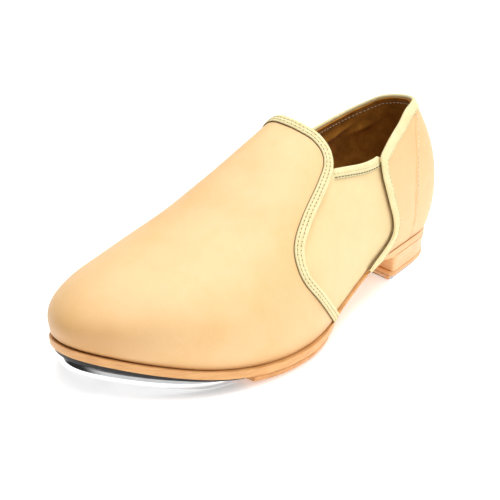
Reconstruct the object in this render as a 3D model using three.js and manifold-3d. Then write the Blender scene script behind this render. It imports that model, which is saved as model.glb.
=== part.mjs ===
// A slip-on tap shoe for the left foot, in millimetres: +X to the toe, +Y to the outer side, +Z up.
// The upper's panels, linings and bindings all follow one surface, which the functions under
// "The upper's surface" describe. The plates under the foot follow the same outline.
import * as THREE from 'three';
import { mergeVertices } from 'three/addons/utils/BufferGeometryUtils.js';
import Module from 'manifold-3d';

const wasm = await Module();
wasm.setup();

// ---------- Driving dimensions ----------
const lastLength = 243;             // heel to toe along the feather line, where upper meets sole
const heelHeight = 19.3;            // ground to the feather line at the heel
const ballHeight = 8.5;             // ground to the feather line at the ball
const toeSpring = 12.8;             // extra rise of the feather line at the toe tip
const springStart = 169;            // where the toe starts to rise
const waistStart = 59;              // the feather line slopes down from here ...
const waistEnd = 152;               // ... to here
const gap = 0.25;                   // clearance between stacked pieces
const edgeGap = 0.75;               // clearance between a panel's edge and the tape folded round it
const tapeGap = 0.4;                // clearance between a panel's face and the tape on it

const leatherThickness = 1.1;
const stiffenerDepth = [1.55, 2.2];  // counter and toe puff, below the outer surface
const goreDepth = [2.2, 3.1];
const liningDepth = [2.5, 3.2];
const liningRise = 1.15;            // how far the lining comes out to meet the collar's edge
const bindingThickness = 0.5;
const bindingWidth = 4.6;
const bindingInnerWidth = 3.6;
const bindingInnerDepth = 1.4;      // below the panel's outer surface
const collarInnerDepth = 2.35;      // the collar's tape also wraps the lining

const soleThickness = 3.9;
const soleLedge = 1.2;              // how far the sole stands outside the feather line at the forepart
const waistTuck = 0.6;              // how far it lies inside the feather line at the waist
const waistBevel = 7;               // how much narrower its underside is there
const shimThickness = [0.9, 2.3];   // at the shim's rear and at the toe
const padThickness = 3.2;
const padSpan = [137, 190];
const toeTapStart = 193.5;
const toeTapRim = 2.9;              // how much less the tap's underside rises than the sole
const heelFront = 56;
const breastBow = 5;                // how far the heel's front face curves back
const heelTapThickness = 2.8;
const topLiftThickness = 2.5;

const screwHeadRadius = 2.9;
const screwShankRadius = 1.35;
const screwClearance = 0.2;
const screwLength = 8.2;
const toeScrewPlaces = [[203, -27], [203, 20], [229, -10]];
const heelScrewPlaces = [[11, 0], [40, -17], [40, 17]];
const innerScrewX = 24;

// ---------- Finishes ----------
const finishes = {
  tanLeather: { color: 0xf6d0a0, roughness: 0.6, metalness: 0 },
  goreElastic: { color: 0xf7e3b0, roughness: 0.85, metalness: 0 },
  bindingTape: { color: 0xf3e8bd, roughness: 0.8, metalness: 0 },
  liningSuede: { color: 0x7d5a34, roughness: 0.95, metalness: 0 },
  stiffenerBoard: { color: 0xd9c7a5, roughness: 0.9, metalness: 0 },
  soleLeather: { color: 0xd7975f, roughness: 0.6, metalness: 0 },
  heelTan: { color: 0xe9b98c, roughness: 0.5, metalness: 0 },
  liftTan: { color: 0xb98555, roughness: 0.6, metalness: 0 },
  blackBoard: { color: 0x1b1815, roughness: 0.6, metalness: 0 },
  cork: { color: 0xa77c4f, roughness: 0.95, metalness: 0 },
  steel: { color: 0x9aa0a6, roughness: 0.35, metalness: 1 },
  polishedAlloy: { color: 0xdfe2e6, roughness: 0.12, metalness: 1 },
};

// ---------- Curves ----------
// Smooth curve y(x) through a few points.
function graph(points) {
  const slopes = points.map((point, i) => {
    const before = points[Math.max(i - 1, 0)];
    const after = points[Math.min(i + 1, points.length - 1)];
    return (after[1] - before[1]) / (after[0] - before[0]);
  });
  return (x) => {
    const inside = THREE.MathUtils.clamp(x, points[0][0], points.at(-1)[0]);
    let i = 0;
    while (i < points.length - 2 && inside > points[i + 1][0]) i += 1;
    const [x0, y0] = points[i];
    const [x1, y1] = points[i + 1];
    const h = x1 - x0;
    const t = (inside - x0) / h;
    const start = y0 * (1 + 2 * t) * (1 - t) ** 2 + slopes[i] * h * t * (1 - t) ** 2;
    return start + y1 * t * t * (3 - 2 * t) + slopes[i + 1] * h * t * t * (t - 1);
  };
}

// The feather line seen from above: heel, outer side, toe, inner side and back to the heel.
const outlinePoints = [
  [0, 0], [3.4, 13.7], [15.7, 26], [37, 30.5], [59, 32.8], [88, 36.8], [118, 43], [145, 48.8],
  [168, 49.8], [190, 44.5], [208, 35], [222, 22.5], [233, 9], [243, -11], [240, -27], [231, -38.5],
  [214, -46], [192, -47.5], [170, -44.5], [150, -37.5], [127, -31], [103, -28], [78, -28.4],
  [54, -31.4], [34, -31.8], [15.7, -27], [3.4, -14],
];
const outlineCurve = new THREE.CatmullRomCurve3(
  outlinePoints.map(([x, y]) => new THREE.Vector3(x, y, 0)), true, 'centripetal');
outlineCurve.arcLengthDivisions = 1200;
const toePlace = findToe();

function findToe() {
  let best = 0;
  for (let u = 0.4; u < 0.6; u += 0.0005) {
    if (outlineCurve.getPointAt(u).x > outlineCurve.getPointAt(best).x) best = u;
  }
  return best;
}

// A point of the outline and its outward normal. side is +1 or -1; along runs 0 (heel) to 1 (toe).
function outlineAt(side, along) {
  const place = side > 0 ? along * toePlace : 1 - along * (1 - toePlace);
  const u = THREE.MathUtils.euclideanModulo(place, 1);
  const tangent = outlineCurve.getTangentAt(u);
  return { point: outlineCurve.getPointAt(u), normal: new THREE.Vector3(-tangent.y, tangent.x, 0) };
}

function springRise(x) {
  return toeSpring * (Math.max(0, x - springStart) / (lastLength - springStart)) ** 2;
}

function featherHeight(x) {
  const waist = THREE.MathUtils.smoothstep(x, waistStart, waistEnd);
  return THREE.MathUtils.lerp(heelHeight, ballHeight, waist) + springRise(x);
}

// ---------- The upper's surface ----------
const ridgeHeight = graph([[0, 110], [30, 110], [59, 107.5], [80, 103], [98, 98.5], [122, 88], [147, 74.3],
  [171, 62], [196, 53.3], [217, 47.5], [235, 43], [251, 39]]);
const ridgeSide = graph([[0, 0], [59, 0], [118, -5], [167, -10], [210, -12.5], [245, -12.5]]);
const leanPower = graph([[0, 1.8], [49, 1.65], [88, 1.08], [127, 0.88], [167, 0.86], [245, 0.86]]);
const risePower = graph([[0, 1.1], [49, 1.05], [88, 0.97], [127, 0.89], [167, 0.82], [206, 0.76], [245, 0.71]]);
const bulge = graph([[0, 9], [49, 7.5], [88, 3.6], [127, 2.3], [167, 2.8], [245, 3.2]]);
const ridgeEnds = [24, 208];        // the surface fans out from the ridge's two ends

// The outer surface of the upper. up runs 0 (feather line) to 1 (the ridge over the foot).
function surfacePoint(side, along, up) {
  const { point, normal } = outlineAt(side, along);
  const middle = (outlineAt(1, along).point.x + outlineAt(-1, along).point.x) / 2;
  const ridgeX = THREE.MathUtils.clamp(middle, ...ridgeEnds);
  const angle = up * Math.PI / 2;
  const lean = leanPower(point.x) * (1 + 0.07 * normal.y * THREE.MathUtils.smoothstep(point.x, 98, 157));
  const inward = 1 - Math.max(0, Math.cos(angle)) ** lean;
  const swell = 1.6 * bulge(point.x) * Math.sin(Math.PI * up) * (1 - up);
  const x = THREE.MathUtils.lerp(point.x, ridgeX, inward) + normal.x * swell;
  const y = THREE.MathUtils.lerp(point.y, ridgeSide(ridgeX), inward) + normal.y * swell;
  const base = featherHeight(point.x);
  const z = THREE.MathUtils.lerp(base, ridgeHeight(x), Math.sin(angle) ** risePower(point.x));
  return new THREE.Vector3(x, y, z);
}

const fanStart = (() => {
  let along = 0.5;
  while ((outlineAt(1, along).point.x + outlineAt(-1, along).point.x) / 2 < ridgeEnds[1]) along += 0.001;
  return along;
})();

// The same place pushed inward by depth, along the surface's normal.
function layerPoint({ side, along, up }, depth) {
  const onRidge = up > 0.9999;
  const station = onRidge ? Math.min(along, fanStart) : along;
  const onBothSides = onRidge || along < 1e-6 || along > 1 - 1e-6;
  const whichSide = onBothSides ? 1 : side;
  const step = 0.004;
  const low = Math.max(up - step, 0);
  const high = Math.min(up + step, 1);
  const forward = surfacePoint(whichSide, station + step, up).sub(surfacePoint(whichSide, station - step, up));
  const upward = surfacePoint(whichSide, station, high).sub(surfacePoint(whichSide, station, low));
  const inward = forward.cross(upward).normalize().multiplyScalar(whichSide);
  return surfacePoint(whichSide, station, up).addScaledVector(inward, depth);
}

// ---------- Seam lines ----------
// The vamp's edge, as [along, up] points from the feather line to the tip of the tongue.
function seam(points) {
  const curve = new THREE.SplineCurve(points.map(([x, y]) => new THREE.Vector2(x, y)));
  return (t) => curve.getPoint(THREE.MathUtils.clamp(t, 0, 1));
}
const vampEdge = seam([[0.494, 0], [0.53, 0.08], [0.563, 0.18], [0.588, 0.29], [0.588, 0.38], [0.572, 0.44],
  [0.534, 0.485], [0.48, 0.518], [0.442, 0.555], [0.425, 0.62], [0.423, 0.72], [0.429, 0.83],
  [0.432, 0.93], [0.432, 1]]);
const goreJoin = 8 / 13;            // how far up the vamp's edge the gore's top meets it
const goreMargin = 0.024;           // how far the gore runs under the vamp and the quarter
const seamGap = 0.0015;

// The other seams give along as a function of up, and the collar gives up as a function of along.
const cornerHeight = 0.42;          // where the quarter's front edge meets the collar
const quarterFront = graph([[0, 0.355], [0.028, 0.305], [0.062, 0.277], [0.1, 0.27], [0.145, 0.275],
  [0.23, 0.29], [0.33, 0.3], [0.385, 0.298], [cornerHeight, 0.292]]);
const backSeam = graph([[0, 0.196], [0.11, 0.197], [0.205, 0.198], [0.29, 0.193], [0.365, 0.177],
  [0.44, 0.154], [0.54, 0.13]]);
const collarOuter = graph([[0, 0.55], [0.06, 0.563], [0.12, 0.565], [0.16, 0.55], [0.2, 0.508], [0.245, 0.468],
  [0.292, cornerHeight]]);
const collarInner = graph([[0, 0.55], [0.05, 0.53], [0.1, 0.48], [0.15, 0.435], [0.2, 0.408], [0.245, 0.395],
  [0.292, 0.39]]);

function collarHeight(side, along) {
  return side > 0 ? collarOuter(along) : collarInner(along);
}

// How much lower the inner side's corner is than the outer side's.
function cornerScale(side) {
  return collarHeight(side, quarterFront(cornerHeight)) / cornerHeight;
}

// ---------- Solid builders ----------
function solidFrom(positions, triangles) {
  const geometry = new THREE.BufferGeometry();
  geometry.setAttribute('position', new THREE.Float32BufferAttribute(positions.flatMap((p) => [p.x, p.y, p.z]), 3));
  geometry.setIndex(triangles.flat());
  const merged = mergeVertices(geometry, 1e-3);
  const index = merged.index.array;
  const kept = [];
  for (let i = 0; i < index.length; i += 3) {
    const [a, b, c] = [index[i], index[i + 1], index[i + 2]];
    if (a !== b && b !== c && c !== a) kept.push(a, b, c);
  }
  merged.setIndex(kept);
  if (signedVolume(merged) < 0) {
    merged.setIndex(Array.from({ length: kept.length }, (_, i) => kept[kept.length - 1 - i]));
  }
  return merged;
}

function signedVolume(geometry) {
  const position = geometry.attributes.position;
  const corner = (i) => new THREE.Vector3().fromBufferAttribute(position, geometry.index.array[i]);
  let volume = 0;
  for (let i = 0; i < geometry.index.count; i += 3) {
    volume += corner(i).dot(corner(i + 1).cross(corner(i + 2))) / 6;
  }
  return volume;
}

// A closed solid between two grids of points of the same size, with walls along the open edges.
// walls: which of the grid's edges need one, of 'first', 'last' (columns), 'low' and 'high' (rows).
function solidBetween(outer, inner, walls) {
  const columns = outer.length;
  const rows = outer[0].length;
  const outerIndex = (i, j) => i * rows + j;
  const innerIndex = (i, j) => columns * rows + i * rows + j;
  const triangles = [];
  const quad = (a, b, c, d) => triangles.push([a, b, c], [a, c, d]);
  for (let i = 0; i + 1 < columns; i += 1) {
    for (let j = 0; j + 1 < rows; j += 1) {
      quad(outerIndex(i, j), outerIndex(i + 1, j), outerIndex(i + 1, j + 1), outerIndex(i, j + 1));
      quad(innerIndex(i, j), innerIndex(i, j + 1), innerIndex(i + 1, j + 1), innerIndex(i + 1, j));
    }
  }
  const wall = (i0, j0, i1, j1) => {
    quad(outerIndex(i0, j0), outerIndex(i1, j1), innerIndex(i1, j1), innerIndex(i0, j0));
  };
  for (let j = 0; j + 1 < rows; j += 1) {
    if (walls.includes('first')) wall(0, j, 0, j + 1);
    if (walls.includes('last')) wall(columns - 1, j + 1, columns - 1, j);
  }
  for (let i = 0; i + 1 < columns; i += 1) {
    if (walls.includes('low')) wall(i + 1, 0, i, 0);
    if (walls.includes('high')) wall(i, rows - 1, i + 1, rows - 1);
  }
  return solidFrom([...outer.flat(), ...inner.flat()], triangles);
}

// A panel of the upper. place(i, j) gives {side, along, up}; depths gives its two faces' depths there.
function panel(columns, rows, place, depths, walls = ['first', 'last', 'low', 'high']) {
  const layer = (which) => Array.from({ length: columns + 1 }, (_, i) => Array.from({ length: rows + 1 }, (_, j) => {
    const spot = place(i / columns, j / rows);
    return layerPoint(spot, depths(spot)[which]);
  }));
  return solidBetween(layer(0), layer(1), walls);
}

// A plate that follows the outline from x = start to x = end, curved with the sole.
// inset(x), top(x) and bottom(x) give its edge and faces; bow(across) shifts its cut ends.
function plate({ start, end, inset, bottomInset = inset, top, bottom, steps = 24, across = 1, bow = () => 0,
  bowStart = 0, bowEnd = 0 }) {
  const places = [alongAt(1, start), alongAt(1, end), alongAt(-1, start), alongAt(-1, end)];
  const layer = (height, edge) => Array.from({ length: steps + 1 }, (_, i) => {
    const s = i / steps;
    const corners = [1, -1].map((side) => {
      const from = places[side > 0 ? 0 : 2];
      const to = places[side > 0 ? 1 : 3];
      const { point, normal } = outlineAt(side, THREE.MathUtils.lerp(from, to, s));
      return point.addScaledVector(normal, -edge(point.x));
    });
    return Array.from({ length: across + 1 }, (_, j) => {
      const t = j / across;
      const point = corners[0].clone().lerp(corners[1], t);
      point.x += bow(2 * t - 1) * (bowStart * (1 - s) + bowEnd * s);
      point.z = height(point.x);
      return point;
    });
  });
  const walls = ['low', 'high'];
  if (start > 0) walls.push('first');
  if (end < lastLength) walls.push('last');
  return solidBetween(layer(top, inset), layer(bottom, bottomInset), walls);
}

// Where along one side the outline reaches x.
function alongAt(side, x) {
  if (x <= 0) return 0;
  if (x >= lastLength) return 1;
  let low = 0;
  let high = 1;
  for (let i = 0; i < 30; i += 1) {
    const middle = (low + high) / 2;
    if (outlineAt(side, middle).point.x < x) low = middle;
    else high = middle;
  }
  return low;
}

// Tape folded round a panel's edge. path(t) gives the edge, and stops the places t of the tape's
// sections; towards points roughly into the panel; innerDepth is how far below the panel's outer face
// the tape's inner leg starts, and panelDepth is how deep that face lies in the upper.
function binding(path, stops, towards, innerDepth = bindingInnerDepth, panelDepth = 0) {
  const fold = -edgeGap - bindingThickness;
  const outerFace = -tapeGap - bindingThickness;
  const innerFace = innerDepth + bindingThickness;
  const section = [
    [bindingWidth, -tapeGap], [bindingWidth, outerFace], [-edgeGap, outerFace], [fold, 0], [fold, innerDepth],
    [-edgeGap, innerFace], [bindingInnerWidth, innerFace], [bindingInnerWidth, innerDepth], [-edgeGap, innerDepth],
    [-edgeGap, -tapeGap],
  ];
  const rings = stops.map((t) => {
    const walkIn = edgeWalk(path, t, towards);
    return section.map(([distance, depth]) => layerPoint(walkIn(distance), panelDepth + depth));
  });
  return sweepRings(rings);
}

// The rows of a panel that has count of them, from first to last, as fractions of its length.
function rowsBetween(first, last, count) {
  const whole = Array.from({ length: count }, (_, i) => i).filter((i) => i > first && i < last);
  return [first, ...whole, last].map((row) => row / count);
}

// Gives a function that walks a distance in from the edge, along the surface.
function edgeWalk(path, t, towards) {
  const spot = path(t);
  const step = 0.003;
  const before = path(Math.max(t - 0.002, 0));
  const after = path(Math.min(t + 0.002, 1));
  const tangent = layerPoint(after, 0).sub(layerPoint(before, 0)).normalize();
  const up = Math.min(spot.up, 0.98);
  const at = (along, height) => surfacePoint(spot.side, along, height);
  const perAlong = at(spot.along + step, up).sub(at(spot.along - step, up)).divideScalar(2 * step);
  const low = Math.max(up - step, 0.001);
  const perUp = at(spot.along, up + step).sub(at(spot.along, low)).divideScalar(up + step - low);
  const across = perAlong.clone().cross(perUp).normalize().cross(tangent);
  if (across.dot(towards) < 0) across.negate();
  const [a, b, c] = [perAlong.dot(perAlong), perAlong.dot(perUp), perUp.dot(perUp)];
  const [p, q] = [perAlong.dot(across), perUp.dot(across)];
  const det = a * c - b * b;
  const alongStep = (c * p - b * q) / det;
  const upStep = (a * q - b * p) / det;
  return (distance) => overRidge(spot.side, spot.along + alongStep * distance, spot.up + upStep * distance);
}

// Places past the ridge lie on the other side of the foot, and places past the heel line too.
function overRidge(side, along, up) {
  if (up > 1) return overRidge(-side, along, 2 - up);
  if (along < 0) return overRidge(-side, -along, up);
  return { side, along, up: Math.max(up, 0) };
}

function sweepRings(rings) {
  const size = rings[0].length;
  const triangles = [];
  for (let i = 0; i + 1 < rings.length; i += 1) {
    for (let j = 0; j < size; j += 1) {
      const next = (j + 1) % size;
      const [a, b] = [i * size + j, i * size + next];
      triangles.push([a, b, b + size], [a, b + size, a + size]);
    }
  }
  const last = (rings.length - 1) * size;
  // The section is a bent strip of two legs, so its ends are closed leg by leg.
  const cap = [[0, 1, 2], [0, 2, 9], [9, 2, 3], [9, 3, 4], [9, 4, 8], [8, 4, 5], [8, 5, 6], [8, 6, 7]];
  for (const [a, b, c] of cap) {
    triangles.push([a, c, b], [last + a, last + b, last + c]);
  }
  return solidFrom(rings.flat(), triangles);
}

// ---------- Cutting ----------
function toSolid(geometry) {
  const bare = geometry.clone();
  bare.deleteAttribute('normal');
  bare.deleteAttribute('uv');
  const merged = mergeVertices(bare, 1e-4);
  const mesh = new wasm.Mesh({
    numProp: 3,
    vertProperties: new Float32Array(merged.attributes.position.array),
    triVerts: new Uint32Array(merged.index.array),
  });
  return new wasm.Manifold(mesh);
}

function fromSolid(solid) {
  const mesh = solid.getMesh();
  const geometry = new THREE.BufferGeometry();
  geometry.setAttribute('position', new THREE.BufferAttribute(new Float32Array(mesh.vertProperties), 3));
  geometry.setIndex(Array.from(mesh.triVerts));
  return geometry;
}

function cut(geometry, cutters) {
  let solid = toSolid(geometry);
  for (const cutter of cutters) solid = solid.subtract(toSolid(cutter));
  return fromSolid(solid);
}

// ---------- Screws ----------
// A countersunk screw driven upward from z = 0, with grow added all round to make its hole.
function screwShape(length, grow = 0) {
  const head = screwHeadRadius + grow;
  const shank = screwShankRadius + grow;
  const bottom = grow > 0 ? -3 : 0;
  const profile = [[0, bottom], [head, bottom], [head, 0.4 + grow / 2], [shank, 2 + grow / 2],
    [shank, length - 1.2], [grow > 0 ? shank : 0.3, length + grow], [0, length + grow]];
  const lathe = new THREE.LatheGeometry(profile.map(([r, z]) => new THREE.Vector2(r, z)), 12);
  return lathe.rotateX(Math.PI / 2);
}

function driveSlot() {
  const slot = new THREE.BoxGeometry(0.9, 2.6 * screwShankRadius, 1.6);
  return [slot, slot.clone().rotateZ(Math.PI / 2)];
}

// Puts a screw or its hole at a place, square to the face it is driven into.
function placeScrew(geometry, x, y, z, tilt) {
  return geometry.rotateY(-tilt).translate(x, y, z);
}

function toeTapBottom(x) {
  return Math.max(0, springRise(x) - toeTapRim);
}

function toeTapTilt(x) {
  return Math.atan((toeTapBottom(x + 1) - toeTapBottom(x - 1)) / 2);
}

const toeScrewHoles = () => toeScrewPlaces.map(([x, y]) =>
  placeScrew(screwShape(screwLength, screwClearance), x, y, toeTapBottom(x), toeTapTilt(x)));
const heelScrewHoles = () => heelScrewPlaces.map(([x, y]) =>
  placeScrew(screwShape(screwLength, screwClearance), x, y, 0, 0));

function tapScrew(x, y, z, tilt) {
  return placeScrew(cut(screwShape(screwLength), driveSlot()), x, y, z, tilt);
}

// ---------- Sole and heel ----------
const soleTop = (x) => featherHeight(x) - gap;
const soleBottom = (x) => soleTop(x) - soleThickness;
const underSole = (x) => soleBottom(x) - gap;
const shimBottom = (x) => underSole(x) - THREE.MathUtils.mapLinear(x, toeTapStart, lastLength, ...shimThickness);
const heelBlockBottom = heelTapThickness + gap + topLiftThickness + gap;
const insoleBottom = (x) => featherHeight(x) + 1.2;
const insoleTop = (x) => featherHeight(x) + 2.9;
const breastCurve = (t) => 1 - t * t;
const constant = (value) => () => value;

function innerScrewShape(grow = 0) {
  const length = 14 + grow;
  const top = insoleTop(innerScrewX) - 0.2;
  return screwShape(length, grow).rotateX(Math.PI).translate(innerScrewX, 0, top);
}

// The sole's edge is flush with the heel, tucked in and bevelled at the waist, and stands out round the forepart.
function soleInset(x) {
  const waist = waistTuck * THREE.MathUtils.smoothstep(x, 52, 72);
  return THREE.MathUtils.lerp(waist, -soleLedge, THREE.MathUtils.smoothstep(x, 118, 155));
}

function soleBottomInset(x) {
  const { smoothstep } = THREE.MathUtils;
  return soleInset(x) + waistBevel * smoothstep(x, 56, 74) * (1 - smoothstep(x, 100, 136));
}

function outsole() {
  const body = plate({ start: 0, end: lastLength, inset: soleInset, bottomInset: soleBottomInset, top: soleTop,
    bottom: soleBottom, steps: 40 });
  return cut(body, [...toeScrewHoles(), innerScrewShape(screwClearance)]);
}

function solePad() {
  return plate({ start: padSpan[0], end: padSpan[1], inset: (x) => soleInset(x) + 0.5,
    bottomInset: (x) => soleInset(x) + 1.8, top: underSole, bottom: (x) => underSole(x) - padThickness,
    steps: 12, across: 2 });
}

function toeShim() {
  const body = plate({ start: toeTapStart - 1, end: lastLength, inset: constant(0.6), top: underSole,
    bottom: shimBottom, steps: 16 });
  return cut(body, toeScrewHoles());
}

function toeTap() {
  const inset = (x) => THREE.MathUtils.mapLinear(x, toeTapStart, lastLength, 8, 1.4);
  const body = plate({ start: toeTapStart, end: lastLength, inset, bottomInset: (x) => inset(x) + 0.5,
    top: (x) => shimBottom(x) - gap, bottom: toeTapBottom, steps: 18, across: 2 });
  return cut(body, toeScrewHoles());
}

function heelPlate(top, bottom, insetTop, insetBottom) {
  return plate({ start: 0, end: heelFront, inset: constant(insetTop), bottomInset: constant(insetBottom),
    top, bottom, steps: 14, across: 4, bow: breastCurve, bowEnd: -breastBow });
}

function heelBlock() {
  const body = heelPlate(underSole, constant(heelBlockBottom), 0, 1.2);
  return cut(body, [...heelScrewHoles(), innerScrewShape(screwClearance)]);
}

function heelTopLift() {
  const top = constant(heelBlockBottom - gap);
  const body = heelPlate(top, constant(heelTapThickness + gap), 0.9, 1.1);
  return cut(body, heelScrewHoles());
}

function heelTap() {
  const body = heelPlate(constant(heelTapThickness), constant(0), 2, 2.5);
  return cut(body, heelScrewHoles());
}

function insoleBoard() {
  const body = plate({ start: 0, end: lastLength, inset: constant(4.4), top: insoleTop, bottom: insoleBottom,
    steps: 36 });
  return cut(body, [innerScrewShape(screwClearance)]);
}

function sockLiner() {
  return plate({ start: 0, end: lastLength, inset: constant(4.6), top: (x) => insoleTop(x) + 1.7,
    bottom: (x) => insoleTop(x) + gap, steps: 36 });
}

function bottomFiller() {
  return plate({ start: 140, end: 226, inset: constant(9), top: (x) => insoleBottom(x) - gap,
    bottom: (x) => featherHeight(x) + 0.1, steps: 12 });
}

// A ribbed steel strip under the arch, bent with the waist of the sole.
function shank() {
  const halfWidth = 6;
  const stations = Array.from({ length: 15 }, (_, i) => THREE.MathUtils.lerp(36, 134, i / 14));
  const layer = (height) => stations.map((x) => {
    const width = halfWidth * Math.sqrt(1 - 0.7 * ((x - 85) / 49) ** 4);
    return [1, -1].map((side) => new THREE.Vector3(x, side * width, height(x)));
  });
  return solidBetween(layer((x) => featherHeight(x) + 0.9), layer((x) => featherHeight(x) + 0.1),
    ['first', 'last', 'low', 'high']);
}

// ---------- Upper ----------
// Runs from the vamp's edge (s = 0) to the toe (s = 1), across from the outer side (t = 0) over the
// ridge (t = 0.5) to the inner side (t = 1).
function vampPlace(s, t) {
  const side = t <= 0.5 ? 1 : -1;
  const edge = vampEdge(1 - Math.abs(2 * t - 1));
  return { side, along: THREE.MathUtils.lerp(edge.x, 1, s), up: Math.min(edge.y, 1) };
}
const vampColumns = 12;
const vampRows = 30;
const quarterRows = 11;
const openAtRear = ['first', 'low', 'high'];

function vampPart(firstColumn, depths) {
  const start = firstColumn / vampColumns;
  return panel(vampColumns - firstColumn, vampRows, (s, t) => vampPlace(THREE.MathUtils.lerp(start, 1, s), t),
    depths, openAtRear);
}

const vamp = () => vampPart(0, () => [0, leatherThickness]);
const toePuff = () => vampPart(8, () => stiffenerDepth);
const vampLining = () => vampPart(1, () => liningDepth);

// Runs up the gore (t) from the feather line to its top, from the quarter (s = 0) to the vamp (s = 1).
function gorePlace(side, s, t) {
  const rearUp = cornerHeight * t ** 1.4;
  const front = vampEdge(goreJoin * t);
  const along = THREE.MathUtils.lerp(quarterFront(rearUp), front.x, s);
  const sag = 0.12 * s * (1 - s) * t;
  return { side, along, up: THREE.MathUtils.lerp(rearUp * cornerScale(side), front.y, s) - sag };
}

function gore(side) {
  return panel(9, 10, (s, t) => {
    const place = gorePlace(side, s, t);
    const rearMargin = goreMargin * (1 - 0.85 * THREE.MathUtils.smoothstep(t, 0.7, 0.92));
    return { ...place, along: place.along + THREE.MathUtils.lerp(-rearMargin, goreMargin, s) };
  }, () => goreDepth);
}

// Runs up the quarter (t) from the feather line to the collar, from the back seam to the front edge (s).
function quarterPlace(side, s, t) {
  const height = t ** 1.4;
  const along = THREE.MathUtils.lerp(backSeam(0.5 * height) + seamGap, quarterFront(cornerHeight * height), s);
  return { side, along, up: height * collarHeight(side, along) };
}

function quarter(side) {
  return panel(5, quarterRows, (s, t) => quarterPlace(side, s, t), () => [0, leatherThickness]);
}

// Runs round the heel: s = 0 on the inner side, 0.5 at the back, 1 on the outer side.
function heelPlace(s, t, reach) {
  const side = s >= 0.5 ? 1 : -1;
  const along = Math.abs(2 * s - 1) * reach(t);
  return { side, along, up: t * collarHeight(side, along) };
}

function backstay() {
  return panel(16, 10, (s, t) => heelPlace(s, t, (height) => backSeam(0.5 * height)), () => [0, leatherThickness]);
}

function heelCounter() {
  return panel(16, 8, (s, t) => heelPlace(s, 0.62 * t, (height) => 0.18 - 0.08 * height ** 3),
    () => stiffenerDepth);
}

function quarterLining() {
  const reach = (t) => quarterFront(cornerHeight * t) - goreMargin - 0.012;
  return panel(24, 11, (s, t) => heelPlace(s, t, reach), ({ side, along, up }) => {
    const rise = liningRise * THREE.MathUtils.smoothstep(up / collarHeight(side, along), 0.78, 0.9);
    return liningDepth.map((depth) => depth - rise);
  });
}

// ---------- Bindings ----------
const forward = new THREE.Vector3(1, 0, 0);
const backward = new THREE.Vector3(-1, 0, 0);
const downward = new THREE.Vector3(0, 0, -1);

function vampBinding() {
  return binding((t) => vampPlace(0, t), rowsBetween(0.4, vampRows - 0.4, vampRows), forward);
}

function quarterBinding(side) {
  return binding((t) => quarterPlace(side, 1, t), rowsBetween(0.5, 10, quarterRows), backward);
}

function goreBinding(side) {
  const innerDepth = goreDepth[1] - goreDepth[0] + gap;
  return binding((s) => gorePlace(side, s, 1), rowsBetween(0.5, 8.5, 9), downward, innerDepth, goreDepth[0]);
}

function collarBinding() {
  const reach = quarterFront(cornerHeight) - 0.0075;
  const path = (t) => {
    const across = 2 * t - 1;
    const side = across >= 0 ? 1 : -1;
    const along = Math.abs(across) * reach;
    return { side, along, up: collarHeight(side, along) };
  };
  return binding(path, rowsBetween(0, 34, 34), downward, collarInnerDepth);
}

const group = new THREE.Group();
const shoe = new THREE.Group();
group.add(shoe);

function add(name, geometry, finish) {
  const mesh = new THREE.Mesh(geometry, new THREE.MeshStandardMaterial(finish));
  mesh.name = name;
  shoe.add(mesh);
}

add('outsole', outsole(), finishes.soleLeather);
add('sole_pad', solePad(), finishes.soleLeather);
add('toe_shim', toeShim(), finishes.blackBoard);
add('toe_tap', toeTap(), finishes.polishedAlloy);
toeScrewPlaces.forEach(([x, y], i) => {
  add(`toe_tap_screw_${i + 1}`, tapScrew(x, y, toeTapBottom(x), toeTapTilt(x)), finishes.steel);
});
add('heel_block', heelBlock(), finishes.heelTan);
add('heel_top_lift', heelTopLift(), finishes.liftTan);
add('heel_tap', heelTap(), finishes.polishedAlloy);
heelScrewPlaces.forEach(([x, y], i) => {
  add(`heel_tap_screw_${i + 1}`, tapScrew(x, y, 0, 0), finishes.steel);
});
add('heel_screw', innerScrewShape(), finishes.steel);
add('insole_board', insoleBoard(), finishes.stiffenerBoard);
add('sock_liner', sockLiner(), finishes.liningSuede);
add('bottom_filler', bottomFiller(), finishes.cork);
add('shank', shank(), finishes.steel);
add('vamp', vamp(), finishes.tanLeather);
add('toe_puff', toePuff(), finishes.stiffenerBoard);
add('vamp_lining', vampLining(), finishes.liningSuede);
add('gore_lateral', gore(1), finishes.goreElastic);
add('gore_medial', gore(-1), finishes.goreElastic);
add('quarter_lateral', quarter(1), finishes.tanLeather);
add('quarter_medial', quarter(-1), finishes.tanLeather);
add('backstay', backstay(), finishes.tanLeather);
add('heel_counter', heelCounter(), finishes.stiffenerBoard);
add('quarter_lining', quarterLining(), finishes.liningSuede);
add('vamp_binding', vampBinding(), finishes.bindingTape);
add('quarter_binding_lateral', quarterBinding(1), finishes.bindingTape);
add('quarter_binding_medial', quarterBinding(-1), finishes.bindingTape);
add('gore_binding_lateral', goreBinding(1), finishes.bindingTape);
add('gore_binding_medial', goreBinding(-1), finishes.bindingTape);
add('collar_binding', collarBinding(), finishes.bindingTape);

// The origin is under the middle of the shoe, on the ground.
const box = new THREE.Box3().setFromObject(shoe);
shoe.position.set(-(box.min.x + box.max.x) / 2, -(box.min.y + box.max.y) / 2, -box.min.z);

export default group;
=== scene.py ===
"""The looks of a slip-on tap shoe, built round its CAD frame.

The shape functions work in millimetres along the shoe: +X to the toe, +Y to the outer side, +Z up,
with X = 0 at the back of the heel. in_frame() turns their points into the frame's metres.
"""
import math

import bmesh
import bpy
import numpy as np
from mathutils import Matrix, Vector, geometry, noise


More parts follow.
